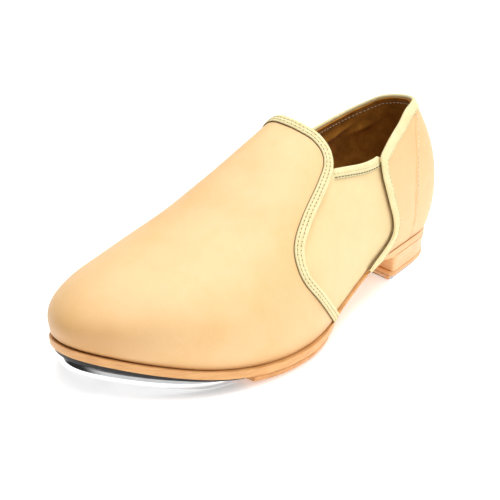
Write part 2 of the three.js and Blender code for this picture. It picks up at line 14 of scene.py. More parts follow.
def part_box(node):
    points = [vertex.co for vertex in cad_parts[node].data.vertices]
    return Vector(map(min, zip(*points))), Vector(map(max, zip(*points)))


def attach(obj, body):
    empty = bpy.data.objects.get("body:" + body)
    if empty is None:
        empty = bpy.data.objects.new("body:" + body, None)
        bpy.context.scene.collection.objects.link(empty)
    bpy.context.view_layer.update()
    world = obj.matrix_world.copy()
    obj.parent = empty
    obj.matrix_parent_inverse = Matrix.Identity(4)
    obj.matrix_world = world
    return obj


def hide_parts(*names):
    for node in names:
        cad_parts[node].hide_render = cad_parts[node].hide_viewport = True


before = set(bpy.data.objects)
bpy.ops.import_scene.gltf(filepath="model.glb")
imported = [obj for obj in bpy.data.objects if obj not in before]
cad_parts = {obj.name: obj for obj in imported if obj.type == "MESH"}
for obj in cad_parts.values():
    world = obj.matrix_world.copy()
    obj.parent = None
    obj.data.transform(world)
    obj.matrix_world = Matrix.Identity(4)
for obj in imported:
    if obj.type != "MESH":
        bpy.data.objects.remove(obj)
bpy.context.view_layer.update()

BODY = "shoe"

# ---------- Dimensions shared with the CAD, in millimetres ----------
LAST_LENGTH = 243.0
HEEL_HEIGHT = 19.3
BALL_HEIGHT = 8.5
TOE_SPRING = 12.8
SPRING_START = 169.0
WAIST = (59.0, 152.0)
GAP = 0.25
CEMENT = 0.2
LEATHER = 1.1
GORE_DEPTH = (2.2, 3.1)
LINING_DEPTH = (2.5, 3.2)
LINING_RISE = 0.65
TAPE_WIDTH = 4.6
TAPE_INNER_WIDTH = 3.6
SOLE_LEDGE = 1.2
WAIST_TUCK = 0.6
WAIST_BEVEL = 7.0
SOLE_THICKNESS = 3.9
SHIM_THICKNESS = (0.9, 2.3)
PAD_THICKNESS = 3.2
PAD_SPAN = (137.0, 190.0)
TOE_TAP_START = 193.5
TOE_TAP_RIM = 2.9
HEEL_FRONT = 56.0
BREAST_BOW = 5.0
HEEL_TAP_THICKNESS = 2.8
TOP_LIFT_THICKNESS = 2.5
TOE_SCREWS = [(203, -27), (203, 20), (229, -10)]
HEEL_SCREWS = [(11, 0), (40, -17), (40, 17)]
HEAD_HOLE = 3.1
SHANK_HOLE = 1.55

# ---------- Sizes that only the looks need, in millimetres ----------
UPPER_HEIGHT = 95
UPPER_LENGTH = 287
STITCH_PITCH = 2.3
KNOT_RADIUS = 0.37
LOOP_SPACING = 1.2
TAPE_FACE_POINTS = 26
VAMP_ROWS = (1.35, 3.2)
GORE_ROWS = (1.9, 3.7)
RIM_ROW = 3.7


# ---------- Small helpers ----------
def lerp(a, b, t):
    return a + (b - a) * t


def smooth(low, high, x):
    t = np.clip((x - low) / (high - low), 0, 1)
    return t * t * (3 - 2 * t)


def unit(v):
    return v / np.maximum(np.linalg.norm(v, axis=-1, keepdims=True), 1e-12)


def bump_at(x, centre, width):
    return np.exp(-((x - centre) / width) ** 2)


def blurred(values, width):
    """The row of values, evened out over that many places."""
    reach = int(3 * width) + 1
    weights = np.exp(-0.5 * (np.arange(-reach, reach + 1) / width) ** 2)
    before = 2 * values[0] - values[reach:0:-1]
    after = 2 * values[-1] - values[-2:-reach - 2:-1]
    return np.convolve(np.r_[before, values, after], weights / weights.sum(), "valid")


def graph(points):
    """A smooth curve y(x) through a few points."""
    xs, ys = np.array(points, float).T
    slopes = np.array([(ys[min(i + 1, len(xs) - 1)] - ys[max(i - 1, 0)])
                       / (xs[min(i + 1, len(xs) - 1)] - xs[max(i - 1, 0)]) for i in range(len(xs))])

    def curve(x):
        x = np.clip(x, xs[0], xs[-1])
        i = np.clip(np.searchsorted(xs, x, side="right") - 1, 0, len(xs) - 2)
        h = xs[i + 1] - xs[i]
        t = (x - xs[i]) / h
        start = ys[i] * (1 + 2 * t) * (1 - t) ** 2 + slopes[i] * h * t * (1 - t) ** 2
        return start + ys[i + 1] * t * t * (3 - 2 * t) + slopes[i + 1] * h * t * t * (t - 1)
    return curve


def seam(points):
    """A smooth line through [along, up] points, as a function of t from 0 to 1."""
    points = np.array(points, float)
    last = len(points) - 1

    def line(t):
        place = np.clip(t, 0, 1) * last
        i = np.minimum(np.floor(place).astype(int), last - 1)
        w = (place - i)[..., None]
        p0, p1 = points[np.maximum(i - 1, 0)], points[i]
        p2, p3 = points[i + 1], points[np.minimum(i + 2, last)]
        v0, v1 = (p2 - p0) / 2, (p3 - p1) / 2
        return ((2 * p1 - 2 * p2 + v0 + v1) * w ** 3 + (3 * p2 - 3 * p1 - 2 * v0 - v1) * w ** 2
                + v0 * w + p1)
    return line


def run_along(points):
    """How far along a line of points each one lies."""
    return np.r_[0, np.cumsum(np.linalg.norm(np.diff(points, axis=0), axis=1))]


def closed_curve(points):
    """A closed curve through points, as a function of its length share u, smooth in curvature."""
    points = np.array(points, float)
    count = len(points)
    steps = np.sqrt(np.linalg.norm(np.roll(points, -1, 0) - points, axis=1))
    knots = np.r_[0, np.cumsum(steps)]
    system = np.zeros((count, count))
    target = np.zeros((count, 2))
    for i in range(count):
        after = (i + 1) % count
        system[i, i - 1] += steps[i - 1]
        system[i, i] += 2 * (steps[i - 1] + steps[i])
        system[i, after] += steps[i]
        target[i] = 6 * ((points[after] - points[i]) / steps[i] - (points[i] - points[i - 1]) / steps[i - 1])
    bends = np.linalg.solve(system, target)

    def at_knot(s):
        s = np.mod(s, knots[-1])
        i = np.clip(np.searchsorted(knots, s, side="right") - 1, 0, count - 1)
        j = (i + 1) % count
        a, b, h = (knots[i + 1] - s)[..., None], (s - knots[i])[..., None], steps[i][..., None]
        curved = (bends[i] * a ** 3 + bends[j] * b ** 3) / (6 * h)
        return curved + (points[i] / h - bends[i] * h / 6) * a + (points[j] / h - bends[j] * h / 6) * b
    dense = np.linspace(0, knots[-1], 6001)
    places = at_knot(dense)
    walked = run_along(places)
    return lambda u: at_knot(np.interp(np.mod(u, 1.0) * walked[-1], walked, dense))


# ---------- The last: the foot's outline and the surface of the upper ----------
# The feather line, where upper meets sole, seen from above: heel, outer side, toe, inner side.
outline = closed_curve([
    (0, 0), (3.4, 13.7), (15.7, 26), (37, 30.5), (59, 32.8), (88, 36.8), (118, 43), (145, 48.8), (168, 49.8),
    (190, 44.5), (208, 35), (222, 22.5), (233, 9), (243, -11), (240, -27), (231, -38.5), (214, -46),
    (192, -47.5), (170, -44.5), (150, -37.5), (127, -31), (103, -28), (78, -28.4), (54, -31.4), (34, -31.8),
    (15.7, -27), (3.4, -14)])
around = np.linspace(0, 1, 6001)
TOE = around[outline(around)[:, 0].argmax()]

ridge_height = graph([(0, 110), (30, 110), (59, 107.5), (80, 103), (98, 98.5), (122, 88), (147, 74.3),
                      (171, 62), (196, 53.3), (217, 47.5), (235, 43), (251, 39)])
ridge_side = graph([(0, 0), (59, 0), (118, -5), (167, -10), (210, -12.5), (245, -12.5)])
lean_power = graph([(0, 1.8), (49, 1.65), (88, 1.08), (127, 0.88), (167, 0.86), (245, 0.86)])
rise_power = graph([(0, 1.1), (49, 1.05), (88, 0.97), (127, 0.89), (167, 0.82), (206, 0.76), (245, 0.71)])
bulge = graph([(0, 9), (49, 7.5), (88, 3.6), (127, 2.3), (167, 2.8), (245, 3.2)])
RIDGE_ENDS = (24.0, 208.0)


def spring_rise(x):
    return TOE_SPRING * (np.maximum(0, x - SPRING_START) / (LAST_LENGTH - SPRING_START)) ** 2


def feather_height(x):
    return lerp(HEEL_HEIGHT, BALL_HEIGHT, smooth(*WAIST, x)) + spring_rise(x)


def outline_at(side, along):
    """A point of the outline and its outward normal; along runs 0 (heel) to 1 (toe)."""
    u = np.where(side > 0, along * TOE, 1 - along * (1 - TOE))
    tangent = unit(outline(u + 1e-4) - outline(u - 1e-4))
    return outline(u), np.stack([-tangent[..., 1], tangent[..., 0]], -1)


def sole_inset(x):
    """The sole's edge is flush with the heel, tucked in at the waist, and stands out round the forepart."""
    return lerp(WAIST_TUCK * smooth(52, 72, x), -SOLE_LEDGE, smooth(118, 155, x))


def sole_bevel(x):
    return WAIST_BEVEL * smooth(56, 74, x) * (1 - smooth(100, 136, x))


def spots(side, along, up):
    """Places on the upper: side +1 or -1, along 0 (heel) to 1 (toe), up 0 (feather line) to 1 (ridge)."""
    return np.stack(np.broadcast_arrays(np.asarray(side, float), along, up), -1)


def surface(spot):
    """The outer surface of the upper."""
    side, along, up = spot[..., 0], spot[..., 1], spot[..., 2]
    foot, normal = outline_at(side, along)
    xf, yf = foot[..., 0], foot[..., 1]
    middle = (outline(along * TOE)[..., 0] + outline(1 - along * (1 - TOE))[..., 0]) / 2
    ridge_x = np.clip(middle, *RIDGE_ENDS)
    angle = up * np.pi / 2
    lean = lean_power(xf) * (1 + 0.07 * normal[..., 1] * smooth(98, 157, xf))
    inward = 1 - np.maximum(0, np.cos(angle)) ** lean
    swell = 1.6 * bulge(xf) * np.sin(np.pi * up) * (1 - up)
    x = lerp(xf, ridge_x, inward) + normal[..., 0] * swell
    y = lerp(yf, ridge_side(ridge_x), inward) + normal[..., 1] * swell
    z = lerp(feather_height(xf), ridge_height(x), np.sin(angle) ** rise_power(xf))
    return np.stack([x, y, z], -1)


def one_side_normal(spot):
    step = 0.004
    along = np.clip(spot[..., 1], step, 1 - step)
    up = np.clip(spot[..., 2], step, 0.985)
    side = spot[..., 0]
    forward = surface(spots(side, along + step, up)) - surface(spots(side, along - step, up))
    upward = surface(spots(side, along, up + step)) - surface(spots(side, along, up - step))
    return unit(np.cross(upward, forward)) * side[..., None]


def outward(spot):
    """The surface's normal, the same from both sides where they meet."""
    along, up = spot[..., 1], spot[..., 2]
    share = 0.5 * np.maximum(smooth(0.93, 1, up), np.maximum(smooth(0.97, 1, along), smooth(0.03, 0, along)))
    other = spots(-spot[..., 0], along, up)
    return unit(lerp(one_side_normal(spot), one_side_normal(other), share[..., None]))


def layer(spot, depth):
    """The surface pushed in by depth."""
    return surface(spot) - outward(spot) * np.asarray(depth, float)[..., None]


# ---------- Seam lines ----------
vamp_edge = seam([(0.494, 0), (0.53, 0.08), (0.563, 0.18), (0.588, 0.29), (0.588, 0.38), (0.572, 0.44),
                  (0.534, 0.485), (0.48, 0.518), (0.442, 0.555), (0.425, 0.62), (0.423, 0.72), (0.429, 0.83),
                  (0.432, 0.93), (0.432, 1)])
GORE_JOIN = 8 / 13
GORE_MARGIN = 0.024
SEAM_GAP = 0.0009
CORNER_HEIGHT = 0.42
quarter_front = graph([(0, 0.355), (0.028, 0.305), (0.062, 0.277), (0.1, 0.27), (0.145, 0.275), (0.23, 0.29),
                       (0.33, 0.3), (0.385, 0.298), (CORNER_HEIGHT, 0.292)])
back_seam = graph([(0, 0.196), (0.11, 0.197), (0.205, 0.198), (0.29, 0.193), (0.365, 0.177), (0.44, 0.154),
                   (0.54, 0.13)])
collar_outer = graph([(0, 0.55), (0.06, 0.563), (0.12, 0.565), (0.16, 0.55), (0.2, 0.508), (0.245, 0.468),
                      (0.292, CORNER_HEIGHT)])
collar_inner = graph([(0, 0.55), (0.05, 0.53), (0.1, 0.48), (0.15, 0.435), (0.2, 0.408), (0.245, 0.395),
                      (0.292, 0.39)])


def collar_height(side, along):
    return np.where(side > 0, collar_outer(along), collar_inner(along))


def corner_scale(side):
    return float(collar_height(side, quarter_front(CORNER_HEIGHT))) / CORNER_HEIGHT


def vamp_spot(s, t):
    """From the vamp's edge (s = 0) to the toe (s = 1); t runs from the outer side over the ridge."""
    edge = vamp_edge(1 - np.abs(2 * t - 1))
    return spots(np.where(t <= 0.5, 1.0, -1.0), lerp(edge[..., 0], 1, s), np.minimum(edge[..., 1], 1))


def gore_spot(side, s, t, margin=0.0):
    """Up the gore (t), from the quarter (s = 0) to the vamp (s = 1)."""
    rear_up = CORNER_HEIGHT * t ** 1.4
    front = vamp_edge(GORE_JOIN * t)
    rear_margin = margin * (1 - 0.85 * smooth(0.7, 0.92, t))
    along = lerp(quarter_front(rear_up), front[..., 0], s) + lerp(-rear_margin, margin, s)
    up = lerp(rear_up * corner_scale(side), front[..., 1], s) - 0.12 * s * (1 - s) * t
    return spots(side, along, up)


def quarter_spot(side, s, t):
    """Up the quarter (t), from the back seam (s = 0) to the front edge (s = 1)."""
    height = t ** 1.4
    along = lerp(back_seam(0.5 * height) + SEAM_GAP, quarter_front(CORNER_HEIGHT * height), s)
    return spots(side, along, height * collar_height(side, along))


def heel_spot(s, t, reach):
    """Round the heel: s = 0 on the inner side, 0.5 at the back, 1 on the outer side."""
    side = np.where(s >= 0.5, 1.0, -1.0)
    along = np.abs(2 * s - 1) * reach(t)
    return spots(side, along, t * collar_height(side, along))


def backstay_reach(t):
    return back_seam(0.5 * t)


def lining_reach(t):
    return quarter_front(CORNER_HEIGHT * t) - GORE_MARGIN - 0.012


def over_ridge(spot):
    """Places past the ridge lie on the other side of the foot, and places past the heel line too."""
    side, along, up = spot[..., 0], spot[..., 1], spot[..., 2]
    side = np.where(up > 1, -side, side)
    up = np.where(up > 1, 2 - up, up)
    side = np.where(along < 0, -side, side)
    return spots(side, np.abs(along), np.maximum(up, 0))


def walk_from(path, t, towards, fan=0.0):
    """Gives a function that walks a distance in millimetres off the line path(t), along the surface.
    towards is a direction, or one for each t; fan is the length over which the walks fan round a corner."""
    spot = path(t)
    step = 0.003
    tangent = unit(surface(path(np.minimum(t + 0.002, 1))) - surface(path(np.maximum(t - 0.002, 0))))
    side, along = spot[..., 0], spot[..., 1]
    up = np.minimum(spot[..., 2], 0.98)
    low = np.maximum(up - step, 0.001)
    per_along = (surface(spots(side, along + step, up)) - surface(spots(side, along - step, up))) / (2 * step)
    upward = surface(spots(side, along, up + step)) - surface(spots(side, along, low))
    per_up = upward / (up + step - low)[..., None]
    across = unit(np.cross(np.cross(per_along, per_up), tangent))
    dot = lambda p, q: (p * q).sum(-1)
    aim = towards(t) if callable(towards) else np.array(towards, float)
    across = np.where((dot(across, aim) < 0)[..., None], -across, across)
    a, b, c = dot(per_along, per_along), dot(per_along, per_up), dot(per_up, per_up)
    p, q = dot(per_along, across), dot(per_up, across)
    det = a * c - b * b
    along_step, up_step = (c * p - b * q) / det, (a * q - b * p) / det
    if fan:
        length = np.linalg.norm(np.diff(surface(spot), axis=0), axis=1).sum()
        width = fan / length * len(t)
        along_step = side * blurred(side * along_step, width)
        up_step = blurred(up_step, width)
    return lambda distance: over_ridge(spots(side, along + along_step * distance,
                                             spot[..., 2] + up_step * distance))


FORWARD, BACKWARD, DOWNWARD = (1, 0, 0), (-1, 0, 0), (0, 0, -1)


def rim_line():
    """The line of the tape that runs up the inner quarter's front edge, round the collar and down the outer
    quarter's front edge, with its corners rounded. Gives path(t) and towards(t)."""
    rise = np.linspace(0.02, 1, 300)
    reach = quarter_front(CORNER_HEIGHT)
    round_heel = np.linspace(-reach, reach, 900)
    fronts = [quarter_spot(side, np.ones_like(rise), rise) for side in (-1, 1)]
    line = [np.column_stack([-fronts[0][:, 1], fronts[0][:, 2]]),
            np.column_stack([round_heel, collar_height(np.sign(round_heel), np.abs(round_heel))])[1:-1],
            np.column_stack([fronts[1][:, 1], fronts[1][:, 2]])[::-1]]
    on_collar = np.concatenate([np.full(len(part), value) for part, value in zip(line, (0.0, 1.0, 0.0))])
    line = np.vstack(line)
    points = surface(spots(np.where(line[:, 0] < 0, -1, 1), np.abs(line[:, 0]), line[:, 1]))
    run = run_along(points)
    even = np.linspace(0, run[-1], 1600)
    width = 1.5 / (even[1] - even[0])
    signed, up, share = (blurred(np.interp(even, run, values), width)
                         for values in (line[:, 0], line[:, 1], on_collar))
    places = even / run[-1]

    def path(t):
        at = np.interp(t, places, signed)
        return spots(np.where(at < 0, -1.0, 1.0), np.abs(at), np.interp(t, places, up))

    def towards(t):
        return lerp(np.array(BACKWARD), np.array(DOWNWARD), np.interp(t, places, share)[:, None])
    return path, towards


# ---------- Meshes ----------
def frame_offset():
    """How far the shape functions' origin lies from the frame's, in millimetres."""
    edge, normal = outline_at(np.where(around < 0.5, 1, -1), 1 - np.abs(2 * around - 1))
    edge = edge - normal * sole_inset(edge[:, :1])
    low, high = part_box("outsole")
    middle = (edge.min(0) + edge.max(0)) / 2
    return np.array([(low.x + high.x) * 500 - middle[0], (low.y + high.y) * 500 - middle[1], 0])


OFFSET = frame_offset()


def in_frame(points):
    return (np.asarray(points, float).reshape(-1, 3) + OFFSET) * 0.001


def make_piece(name, points, faces, material, stands_for=(), uv=None, edge=None, marks=None, sharp=35.0,
               weld=False):
    """A mesh that rides on the shoe. uv, edge and each of marks hold one value a point: a place in
    millimetres for weaves, how much it darkens, near its edges and where shade is painted, and what else its
    material reads."""
    mesh = bpy.data.meshes.new(name)
    mesh.from_pydata(in_frame(points).tolist(), [], [list(map(int, f)) for f in faces])
    if uv is not None:
        corner = np.zeros(len(mesh.loops), int)
        mesh.loops.foreach_get("vertex_index", corner)
        mesh.uv_layers.new(name="UVMap").data.foreach_set("uv", np.asarray(uv, float)[corner].ravel())
    marks = dict(marks or {}, **({} if edge is None else {"edge": edge}))
    for mark, values in marks.items():
        layer_of_mark = mesh.attributes.new(mark, "FLOAT", "POINT")
        layer_of_mark.data.foreach_set("value", np.asarray(values, float).ravel())
    work = bmesh.new()
    work.from_mesh(mesh)
    if weld:
        bmesh.ops.remove_doubles(work, verts=work.verts, dist=2e-6)
    bmesh.ops.recalc_face_normals(work, faces=work.faces)
    work.to_mesh(mesh)
    work.free()
    mesh.polygons.foreach_set("use_smooth", [True] * len(mesh.polygons))
    mesh.set_sharp_from_angle(angle=math.radians(sharp))
    mesh.materials.append(material)
    piece = bpy.data.objects.new(name, mesh)
    bpy.context.scene.collection.objects.link(piece)
    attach(piece, BODY)
    if stands_for:
        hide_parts(*stands_for)
    return piece


def grid_faces(columns, rows, first=0, flip=False, ring=False):
    """Quads of a grid of points; ring joins the last row to the first."""
    i, j = np.meshgrid(np.arange(columns - 1), np.arange(rows if ring else rows - 1), indexing="ij")
    i, j = i.ravel(), j.ravel()
    k = (j + 1) % rows
    quads = np.stack([i * rows + j, (i + 1) * rows + j, (i + 1) * rows + k, i * rows + k], -1) + first
    return (quads[:, ::-1] if flip else quads).tolist()


def shell(outer, inner, open_last=False):
    """A closed shell between two grids of points. open_last leaves out the wall at the last column."""
    columns, rows = outer.shape[:2]
    count = columns * rows
    faces = grid_faces(columns, rows) + grid_faces(columns, rows, count, flip=True)
    rim = [(i, 0) for i in range(columns - 1, -1, -1)] + [(0, j) for j in range(1, rows)]
    rim += [(i, rows - 1) for i in range(1, columns)]
    if not open_last:
        rim += [(columns - 1, j) for j in range(rows - 2, -1, -1)]
    for (i, j), (k, m) in zip(rim, rim[1:]):
        a, b = i * rows + j, k * rows + m
        faces.append([a, b, b + count, a + count])
    return np.concatenate([outer.reshape(-1, 3), inner.reshape(-1, 3)]), faces


def tube_of(rings):
    """Closed rings of points joined one to the next, with flat ends."""
    count, size = rings.shape[:2]
    faces = grid_faces(count, size, ring=True)
    faces += [list(range(size))[::-1], [(count - 1) * size + j for j in range(size)]]
    return rings.reshape(-1, 3), faces


def ring_turns(count):
    """The angles of count points evenly round a circle."""
    return np.linspace(0, 2 * np.pi, count + 1)[:-1]


def packed(parts):
    """Several (points, faces) pairs as one."""
    points, faces, first = [], [], 0
    for some_points, some_faces in parts:
        points.append(some_points)
        faces += [[first + i for i in face] for face in some_faces]
        first += len(some_points)
    return np.concatenate(points), faces


def drift(points, size, amount, seed):
    """Gentle unevenness: smooth noise with bumps of that size, in millimetres."""
    flat = points.reshape(-1, 3) / size + seed * 17.3
    values = np.array([noise.noise(Vector(p)) for p in flat])
    return (amount * values).reshape(points.shape[:-1])


def crowded(count, ends, power=2.2):
    """count + 1 numbers from 0 to 1, closer together at the named ends ('low', 'high')."""
    t = np.linspace(0, 1, count + 1)
    if ends == ("low", "high"):
        return np.where(t < 0.5, (2 * t) ** power / 2, 1 - (2 - 2 * t) ** power / 2)
    return t ** power if ends == ("low",) else 1 - (1 - t) ** power


# ---------- Materials ----------
class Finish:
    """Builds one material's node tree."""

    def __init__(self, name, roughness, metallic=0.0, specular=0.5):
        self.material = bpy.data.materials.new(name)
        self.material.use_nodes = True
        self.tree = self.material.node_tree
        self.shader = self.tree.nodes["Principled BSDF"]
        self.shader.inputs["Metallic"].default_value = metallic
        self.shader.inputs["Specular IOR Level"].default_value = specular
        self.shader.inputs["Roughness"].default_value = roughness
        self.normal = None

    def node(self, kind, inputs=None, **settings):
        made = self.tree.nodes.new(kind)
        for key, value in settings.items():
            setattr(made, key, value)
        for key, value in (inputs or {}).items():
            if isinstance(value, bpy.types.NodeSocket):
                self.tree.links.new(value, made.inputs[key])
            else:
                made.inputs[key].default_value = value
        return made

    def place(self, stretch=(1, 1, 1)):
        """Millimetres from the frame's origin, stretched."""
        source = self.node("ShaderNodeTexCoord").outputs["Object"]
        scale = tuple(1000 * s for s in stretch)
        return self.node("ShaderNodeMapping", {"Vector": source, "Scale": scale}).outputs["Vector"]

    def woven_place(self):
        return self.node("ShaderNodeTexCoord").outputs["UV"]

    def noise(self, size, detail=3.0, rough=0.5, stretch=(1, 1, 1)):
        return self.node("ShaderNodeTexNoise", {"Vector": self.place(stretch), "Scale": 1 / size,
                                                "Detail": detail, "Roughness": rough}).outputs["Fac"]

    def bands(self, size, direction, place, wobble=0.0):
        wave = self.node("ShaderNodeTexWave", {"Vector": place, "Scale": 0.314 / size, "Distortion": wobble,
                                               "Detail": 1.0, "Detail Scale": 2.0},
                         wave_type="BANDS", bands_direction=direction, wave_profile="SIN")
        return wave.outputs["Fac"]

    def cells(self, size):
        return self.node("ShaderNodeTexVoronoi", {"Vector": self.place(), "Scale": 1 / size},
                         feature="DISTANCE_TO_EDGE").outputs["Distance"]

    def ramp(self, value, stops):
        made = self.node("ShaderNodeValToRGB", {"Fac": value})
        elements = made.color_ramp.elements
        while len(elements) < len(stops):
            elements.new(0.5)
        for element, (position, colour) in zip(elements, stops):
            element.position = position
            element.color = (*colour, 1)
        return made.outputs["Color"]

    def mix(self, share, first, second, blend="MIX"):
        made = self.node("ShaderNodeMix", {}, data_type="RGBA", blend_type=blend)
        for socket, value in ((made.inputs[0], share), (made.inputs[6], first), (made.inputs[7], second)):
            if isinstance(value, bpy.types.NodeSocket):
                self.tree.links.new(value, socket)
            else:
                socket.default_value = value if not isinstance(value, tuple) else (*value, 1)
        return made.outputs[2]

    def scaled(self, value, low, high, new_low, new_high):
        return self.node("ShaderNodeMapRange", {"Value": value, "From Min": low, "From Max": high,
                                                "To Min": new_low, "To Max": new_high}).outputs["Result"]

    def product(self, first, second):
        return self.node("ShaderNodeMath", {0: first, 1: second}, operation="MULTIPLY").outputs["Value"]

    def mark(self, name):
        return self.node("ShaderNodeAttribute", {}, attribute_name=name).outputs["Fac"]

    def edge(self):
        return self.mark("edge")

    def colour(self, value):
        self.tree.links.new(value, self.shader.inputs["Base Color"])

    def roughness(self, value):
        self.tree.links.new(value, self.shader.inputs["Roughness"])

    def raise_by(self, height, amount, strength=1.0):
        """Adds bump: height runs 0 to 1 over amount millimetres."""
        made = self.node("ShaderNodeBump",
                         {"Height": height, "Distance": amount * 0.001, "Strength": strength})
        if self.normal:
            self.tree.links.new(self.normal, made.inputs["Normal"])
        self.normal = made.outputs["Normal"]
        self.tree.links.new(self.normal, self.shader.inputs["Normal"])

    def set(self, socket, value):
        self.shader.inputs[socket].default_value = value


def srgb(red, green, blue):
    """A colour given in 0 to 255 screen values, as the linear values that nodes take."""
    def linear(v):
        v /= 255
        return v / 12.92 if v <= 0.04045 else ((v + 0.055) / 1.055) ** 2.4
    return tuple(linear(v) for v in (red, green, blue))


def shaded(colour, amount):
    return tuple(c * amount for c in colour)


def leather_finish(name, tone, deep, wear_and_shade):
    """Smooth, lightly corrected grain leather with a soft sheen, deeper in tone near its edges and where
    shade is painted.
    """
    finish = Finish(name, 0.5)
    patches = finish.noise(22, detail=4, rough=0.55)
    colour = finish.ramp(patches, [(0.25, deep), (0.55, tone), (0.8, shaded(tone, 1.03))])
    speckle = finish.ramp(finish.noise(0.55, detail=5, rough=0.65),
                          [(0.32, (0.92, 0.9, 0.87)), (0.55, (1, 1, 1))])
    colour = finish.mix(0.6, colour, speckle, "MULTIPLY")
    # Darker where the edge mark is set: along the panel edges, and as painted shade at the vamp's toe.
    colour = finish.mix(finish.product(finish.edge(), 0.55), colour, wear_and_shade)
    finish.colour(colour)
    grain = finish.cells(0.75)
    finish.roughness(finish.scaled(finish.noise(3.2, detail=4), 0.3, 0.7, 0.42, 0.56))
    finish.raise_by(finish.scaled(grain, 0, 0.22, 0, 1), 0.05, 0.35)
    finish.raise_by(finish.noise(0.28, detail=4, rough=0.6), 0.05, 0.3)
    finish.raise_by(finish.noise(7, detail=3), 0.35, 0.25)
    finish.set("Coat Weight", 0.06)
    finish.set("Coat Roughness", 0.38)
    finish.set("Sheen Weight", 0.05)
    return finish.material


def gore_finish():
    """Stretch fabric: fine ribs along its height, crossed by finer threads."""
    finish = Finish("gore_elastic", 0.8, specular=0.25)
    weave = finish.woven_place()
    ribs = finish.bands(0.55, "X", weave, 0.6)
    threads = finish.bands(0.4, "Y", weave, 0.6)
    cloth = finish.product(ribs, threads)
    colour = finish.ramp(finish.noise(14, detail=4), [(0.3, srgb(238, 211, 154)), (0.7, srgb(245, 219, 163))])
    colour = finish.mix(finish.scaled(cloth, 0, 1, 0.24, 0), colour, srgb(226, 192, 132))
    fuzz = finish.ramp(finish.noise(0.35, detail=4), [(0.3, (0.93, 0.92, 0.9)), (0.65, (1, 1, 1))])
    colour = finish.mix(0.7, colour, fuzz, "MULTIPLY")
    # Painted shade: the fabric darkens where its edge mark is set, along the sides that run under the quarter
    # and the vamp.
    colour = finish.mix(finish.product(finish.edge(), 0.5), colour, srgb(212, 176, 112))
    finish.colour(colour)
    finish.roughness(finish.scaled(cloth, 0, 1, 0.9, 0.72))
    finish.raise_by(cloth, 0.12, 0.5)
    finish.raise_by(finish.noise(5, detail=3), 0.3, 0.3)
    finish.set("Sheen Weight", 0.25)
    finish.set("Sheen Roughness", 0.6)
    return finish.material


def tape_finish():
    """Folded grosgrain tape: ribs across its length, a little darker at its cut edge."""
    finish = Finish("binding_tape", 0.75, specular=0.3)
    weave = finish.woven_place()
    ribs = finish.bands(0.42, "X", weave, 0.5)
    threads = finish.bands(0.3, "Y", weave, 0.8)
    colour = finish.ramp(finish.noise(5, detail=4), [(0.3, srgb(236, 223, 168)), (0.7, srgb(246, 236, 188))])
    colour = finish.mix(finish.scaled(ribs, 0, 1, 0.3, 0), colour, srgb(212, 192, 132))
    colour = finish.mix(finish.scaled(threads, 0, 1, 0.08, 0), colour, srgb(150, 130, 84))
    colour = finish.mix(finish.product(finish.edge(), 0.6), colour, srgb(150, 116, 66))
    finish.colour(colour)
    finish.roughness(finish.scaled(ribs, 0, 1, 0.85, 0.66))
    finish.raise_by(ribs, 0.1, 0.6)
    finish.raise_by(threads, 0.05, 0.35)
    finish.set("Sheen Weight", 0.15)
    return finish.material


def thread_finish(name, light, dark):
    """Twisted sewing thread."""
    finish = Finish(name, 0.55, specular=0.4)
    twist = finish.bands(0.3, "DIAGONAL", finish.place(), 1.0)
    finish.colour(finish.ramp(twist, [(0.1, dark), (0.8, light)]))
    finish.roughness(finish.scaled(finish.noise(0.4), 0.3, 0.7, 0.5, 0.7))
    finish.raise_by(twist, 0.08, 0.6)
    return finish.material


def suede_finish(name, dark, mid, light):
    """Napped lining: short fibres that lie in lighter and darker patches."""
    finish = Finish(name, 0.92, specular=0.15)
    nap = finish.noise(9, detail=5, rough=0.6)
    fibres = finish.noise(0.3, detail=5, rough=0.7, stretch=(1, 1, 0.55))
    colour = finish.ramp(nap, [(0.3, dark), (0.52, mid), (0.75, light)])
    fleck = finish.ramp(fibres, [(0.25, (0.72, 0.7, 0.68)), (0.7, (1.1, 1.08, 1.05))])
    colour = finish.mix(0.75, colour, fleck, "MULTIPLY")
    colour = finish.mix(finish.product(finish.edge(), 0.5), colour, dark)
    finish.colour(colour)
    finish.roughness(finish.scaled(fibres, 0.3, 0.7, 0.98, 0.82))
    finish.raise_by(fibres, 0.14, 0.6)
    finish.raise_by(nap, 0.5, 0.3)
    finish.set("Sheen Weight", 0.06)
    finish.set("Sheen Roughness", 0.5)
    return finish.material


def sole_finish(name, tone, deep):
    """Sole leather with a waxed edge: fibres that run along the sole, darker streaks and pores."""
    finish = Finish(name, 0.5)
    streaks = finish.noise(2.4, detail=5, rough=0.6, stretch=(0.25, 0.25, 1.6))
    patches = finish.noise(12, detail=4)
    colour = finish.ramp(streaks, [(0.3, deep), (0.55, tone), (0.8, shaded(tone, 1.12))])
    colour = finish.mix(finish.scaled(patches, 0.35, 0.7, 0, 0.35), colour, deep)
    colour = finish.mix(finish.mark("heel_paint"), colour, srgb(236, 186, 129))
    colour = finish.mix(finish.product(finish.edge(), 0.4), colour, shaded(deep, 0.6))
    finish.colour(colour)
    finish.roughness(finish.scaled(streaks, 0.3, 0.7, 0.38, 0.6))
    finish.raise_by(streaks, 0.12, 0.4)
    finish.raise_by(finish.noise(0.35, detail=4), 0.05, 0.4)
    finish.set("Coat Weight", 0.12)
    finish.set("Coat Roughness", 0.3)
    return finish.material


def pad_finish():
    """Moulded rubber in the sole's colour, with a fine grain."""
    finish = Finish("sole_rubber", 0.62)
    mottle = finish.noise(6, detail=4)
    colour = finish.ramp(mottle, [(0.3, srgb(206, 148, 90)), (0.7, srgb(226, 168, 108))])
    colour = finish.mix(finish.product(finish.edge(), 0.6), colour, srgb(150, 92, 50))
    finish.colour(colour)
    finish.roughness(finish.scaled(finish.noise(1.2), 0.3, 0.7, 0.55, 0.72))
    finish.raise_by(finish.noise(0.3, detail=3), 0.06, 0.45)
    return finish.material


